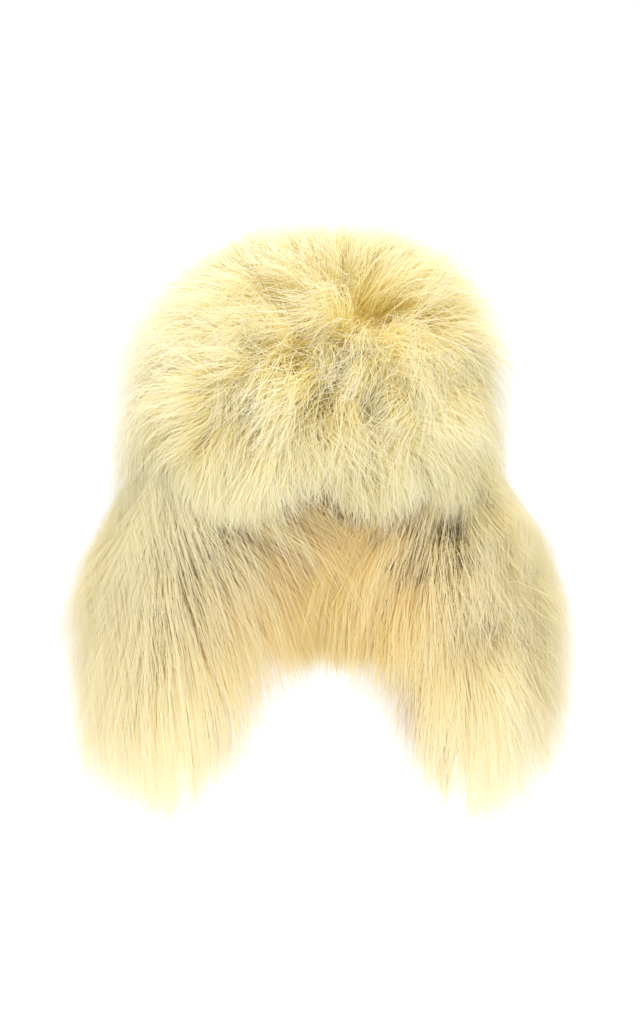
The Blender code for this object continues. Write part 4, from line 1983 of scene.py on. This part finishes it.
    def root(self, drop: float, share: float, face: Face) -> Root:
        """Sets how the hair leaves and lies at one place.

        Args:
            drop: How far below the rim it is.
            share: The share of the way from the front edge to the rear one.
            face: The face of the flap.

        Returns:
            The root there.
        """
        spot = self.spot(drop, share, face)
        place, normal = self.base(spot)
        forward = -self.form.rim_direction(spot.angle)
        out = self.leaving(spot, normal, forward)
        flow = self.flow(spot.to_front, drop) - forward * spot.lean
        sway = replace(self.sway, shift=self.side.value * self.sway.shift)
        flow = turned(flow, out.normalized(), sway.at(place))
        return Root(
            place=self.mirrored(place),
            out=self.mirrored(out),
            flow=self.mirrored(flow),
            rise=self.standing(spot),
            length=self.reach(spot),
            fall=0.003 + 0.010 * max(spot.near_front, spot.near_rear),
            share=self.thickness(spot),
            gather=0.02 + 0.45 * spot.near_line,
            wild=0.04 + 0.55 * spot.near_line * (1 - 0.7 * spot.at_brow),
            tone=self.paleness(spot),
        )

    def skin(self) -> Skin:
        """Lays the skin on both faces of the flap.

        Returns:
            The skin.
        """
        skin = Skin()
        rows = steps(LEAST_DROP, self.outline.drops[-1], self.rows)
        columns = steps(0, 1, self.columns)
        for face in Face:
            skin.patch(rows, columns, lambda drop, share: self.root(drop, share, face))
        return skin


@dataclass
class EarFlapCoat(HangingCoat):
    """The hair of an ear flap, whose front edge sweeps in towards the middle of the face.

    Attributes:
        sweep: How far the hair lies inwards near the front edge.
        turn_in: How far it leaves inwards there.
        swept: The distances from the front edge over which the sweep ends.
        swept_drop: The drops over which most of it ends.
        brow_sweep: How much further the hair at the brow lies inwards.
        brow_end: The drops over which what is at the front flap's hem ends.
        turned_in: The distances from the front edge over which the turn inwards ends.
        turned_drop: The drops over which it ends.
        swollen: The distances from the front edge over which the swell at the hem ends.
        rear_sweep: How far the rear hair lies inwards.
        rear: The distances from the front edge over which that sets in.
        rear_drop: The drops over which it sets in.
    """

    fibre: Fibre = GOLD
    # How much deeper the front edge is painted, as painted shade
    edge_tone: float = 0.90
    sweep: float = 0.0
    turn_in: float = 0.0
    swept: Span = Span(0.0, 0.070)
    swept_drop: Span = Span(0.020, 0.090)
    brow_sweep: float = 0.2
    brow_end: Span = Span(0.010, 0.045)
    turned_in: Span = Span(0.0, 0.080)
    turned_drop: Span = Span(0.055, 0.135)
    swollen: Span = Span(0.020, 0.075)
    rear_sweep: float = 0.30
    rear: Span = Span(0.05, 0.10)
    rear_drop: Span = Span(0.07, 0.14)

    def flow(self, to_front: float, drop: float) -> Vector:
        """Lays the hair down, and near the front edge in towards the middle of the face.

        Args:
            to_front: The distance to the front edge.
            drop: How far below the rim it is.

        Returns:
            The way that the hair lies.
        """
        high = self.swept_drop.before(drop)
        brow = self.brow_sweep * self.brow_end.before(drop)
        sweep = self.sweep * (0.18 + 0.82 * high) + brow
        inward = FACE_MIDDLE * self.swept.before(to_front) * sweep
        rear = FACE_MIDDLE * self.rear_sweep * self.rear.past(to_front) * self.rear_drop.past(drop)
        return DOWN + inward + rear

    def inward(self, to_front: float, drop: float) -> float:
        """Most at the front edge, and less towards the end of the flap."""
        return self.turn_in * self.turned_in.before(to_front) * self.turned_drop.before(drop)

    def brow_swell(self, to_front: float, drop: float) -> float:
        """Most at the brow, and near the front edge."""
        return self.swollen.before(to_front) * self.brow_end.before(drop)


@dataclass
class NeckFlapCoat(HangingCoat):
    """The hair of the neck flap, which hangs straight down."""

    fibre: Fibre = HONEY
    outline: FlapOutline = NECK_OUTLINE
    rises: dict[Face, float] = field(default_factory=lambda: {Face.OUTER: 0.042, Face.INNER: 0.026})
    # The inner face's low tone is painted shade: its hair is painted deep gold, as the shade inside
    # the hat
    tones: dict[Face, float] = field(default_factory=lambda: {Face.OUTER: 0.78, Face.INNER: -0.1})
    length: float = 0.062
    level: float = 0.120


# The cloth, the studio and the whole hat


@dataclass
class Cloth:
    """The hat's cloth walls, which keep their own shapes from the frame.

    Attributes:
        weave: The cloth.
        nodes: The names of the walls.
    """

    weave: Weave = Weave()
    nodes: tuple[str, ...] = (
        "crown", "front_flap", "ear_flap_left", "ear_flap_right", "neck_flap",
    )

    def dress(self, frame: dict[str, Any]) -> None:
        """Gives each wall its woven cloth.

        Args:
            frame: The loaded frame, with its nodes by name.
        """
        for name in self.nodes:
            slots = frame["nodes"][name].data.materials
            made = self.weave.build(f"{name}_cloth")
            if len(slots):
                slots[0] = made
            else:
                slots.append(made)
            log.info("%s dressed in backing cloth", name)


@dataclass(frozen=True)
class Lamp:
    """A square soft lamp.

    Attributes:
        name: Its name.
        place: Where it stands.
        size: The length of its side.
        power: Its power, in watts.
        warmth: The colour of its light.
    """

    name: str
    place: tuple[float, float, float]
    size: float
    power: float
    warmth: Colour = (255, 253, 248)

    def hang(self, target: Vector) -> None:
        """Puts the lamp up, facing a target.

        Args:
            target: What it lights.
        """
        light = bpy.data.lights.new(self.name, "AREA")
        light.size = self.size
        light.energy = self.power
        light.color = linear(self.warmth)[:3]
        lamp = bpy.data.objects.new(self.name, light)
        lamp.location = self.place
        lamp.rotation_euler = (target - Vector(self.place)).to_track_quat("-Z", "Y").to_euler()
        bpy.context.scene.collection.objects.link(lamp)


@dataclass
class Studio:
    """A plain white studio, lit softly from above and in front.

    Attributes:
        floor_height: The height of the floor.
        floor_reach: How far it reaches to each side.
        floor_grey: How light it is, from 0 to 1.
        sky_strength: The strength of the white light from all round.
        distance: How far the camera is from the target.
        elevation: How far above it the camera looks from, in degrees.
        lens: The camera's focal length, in millimetres.
        film: The height of its film, in millimetres.
        target: What the camera and the lamps face.
        lamps: The lamps.
    """

    floor_height: float = -0.46
    floor_reach: float = 6.0
    floor_grey: float = 0.95
    sky_strength: float = 1.05
    distance: float = 1.613
    elevation: float = 5.0
    lens: float = 85.0
    film: float = 36.0
    target: Vector = field(default_factory=lambda: Vector((0, 0, -0.008)))
    lamps: tuple[Lamp, ...] = (
        Lamp("top_light", (0.1, 0.25, 1.6), size=1.6, power=20.0),
        Lamp("front_light", (-0.5, -1.7, 1.0), size=1.2, power=13.0),
    )

    def floor(self) -> None:
        """Lays a wide pale floor, well below the hat."""
        reach, grey = self.floor_reach, self.floor_grey
        mesh = bpy.data.meshes.new("studio_floor")
        corners = [(-reach, -reach), (reach, -reach), (reach, reach), (-reach, reach)]
        mesh.from_pydata([(x, y, self.floor_height) for x, y in corners], [], [(0, 1, 2, 3)])
        plain = bpy.data.materials.new("studio_floor")
        plain.use_nodes = True
        shader = plain.node_tree.nodes["Principled BSDF"]
        shader.inputs["Base Color"].default_value = (grey, grey, grey, 1)
        shader.inputs["Roughness"].default_value = 0.9
        mesh.materials.append(plain)
        floor = bpy.data.objects.new("studio_floor", mesh)
        bpy.context.scene.collection.objects.link(floor)

    def sky(self) -> None:
        """Gives even white light from all round."""
        world = bpy.data.worlds.new("studio_white")
        world.use_nodes = True
        background = world.node_tree.nodes["Background"]
        background.inputs["Color"].default_value = (1, 1, 1, 1)
        background.inputs["Strength"].default_value = self.sky_strength
        bpy.context.scene.world = world

    def camera(self) -> None:
        """Sets the camera straight in front of the hat and a little above its middle."""
        data = bpy.data.cameras.new("camera")
        data.lens = self.lens
        data.sensor_fit = "VERTICAL"
        data.sensor_height = self.film
        data.clip_start = 0.05
        camera = bpy.data.objects.new("camera", data)
        lift = math.radians(self.elevation)
        away = Vector((0, -math.cos(lift), math.sin(lift))) * self.distance
        camera.location = self.target + away
        camera.rotation_euler = (-away).to_track_quat("-Z", "Y").to_euler()
        bpy.context.scene.collection.objects.link(camera)
        bpy.context.scene.camera = camera

    def build(self) -> None:
        """Sets up the camera, the floor and the light."""
        self.camera()
        self.floor()
        self.sky()
        for lamp in self.lamps:
            lamp.hang(self.target)
        view = bpy.context.scene.view_settings
        view.view_transform = "Standard"
        view.look = "None"


CROWN_CUT = HairCut(32500, segments=3, width=0.00045, uneven=0.62, seed=11)
FRONT_CUT = HairCut(
    24500,
    width=0.00044,
    tuft=0.0072,
    lock=0.018,
    tuft_turn=1.20,
    stray=0.45,
    ruffle=0.90,
    kink=0.0026,
    frizz=0.0056,
    uneven=0.66,
    lock_gather=0.15,
    seed=21,
)
LEFT_CUT = HairCut(
    32500,
    segments=3,
    width=0.00036,
    tip=0.2,
    stray=0.9,
    kink=0.0007,
    uneven=0.60,
    lock_gather=0.03,
    loose=0.10,
    seed=31,
)
RIGHT_CUT = replace(LEFT_CUT, seed=43)
NECK_CUT = HairCut(24000, segments=3, width=0.00042, seed=53)
RIGHT_PARTING = Parting(top=(52, 0.02), end=(66, 0.12), strength=0.8)


def coats(form: HatForm) -> list[Coat]:
    """Lists the five coats, in the order in which they are built.

    Args:
        form: The hat's cloth.

    Returns:
        The coats.
    """
    left = {"side": Side.LEFT, "sweep": 0.50, "turn_in": 0.92}
    right = {"side": Side.RIGHT, "sweep": 0.08, "turn_in": 0.48, "parting": RIGHT_PARTING}
    return [
        CrownCoat(form, "crown", CROWN_CUT),
        FrontFlapCoat(form, "front_flap", FRONT_CUT),
        EarFlapCoat(form, "ear_flap_left", LEFT_CUT, **left),
        EarFlapCoat(form, "ear_flap_right", RIGHT_CUT, **right),
        NeckFlapCoat(form, "neck_flap", NECK_CUT),
    ]


def corners(box: Any) -> list[list[float]]:
    """A box as plain lists of numbers."""
    return [[float(v) for v in corner] for corner in box]


def main() -> None:
    """Dresses the hat, piece by piece, and sets up the studio round it."""
    logging.basicConfig(level=logging.INFO, format="%(name)s: %(message)s")
    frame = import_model()
    hair = LongHair()
    Cloth().dress(frame)
    for coat in coats(HatForm.measured()):
        made = coat.build(hair)
        log.info("%s: %d faces", made.name, len(made.data.polygons))
    Studio().build()


if __name__ == "__main__":
    main()
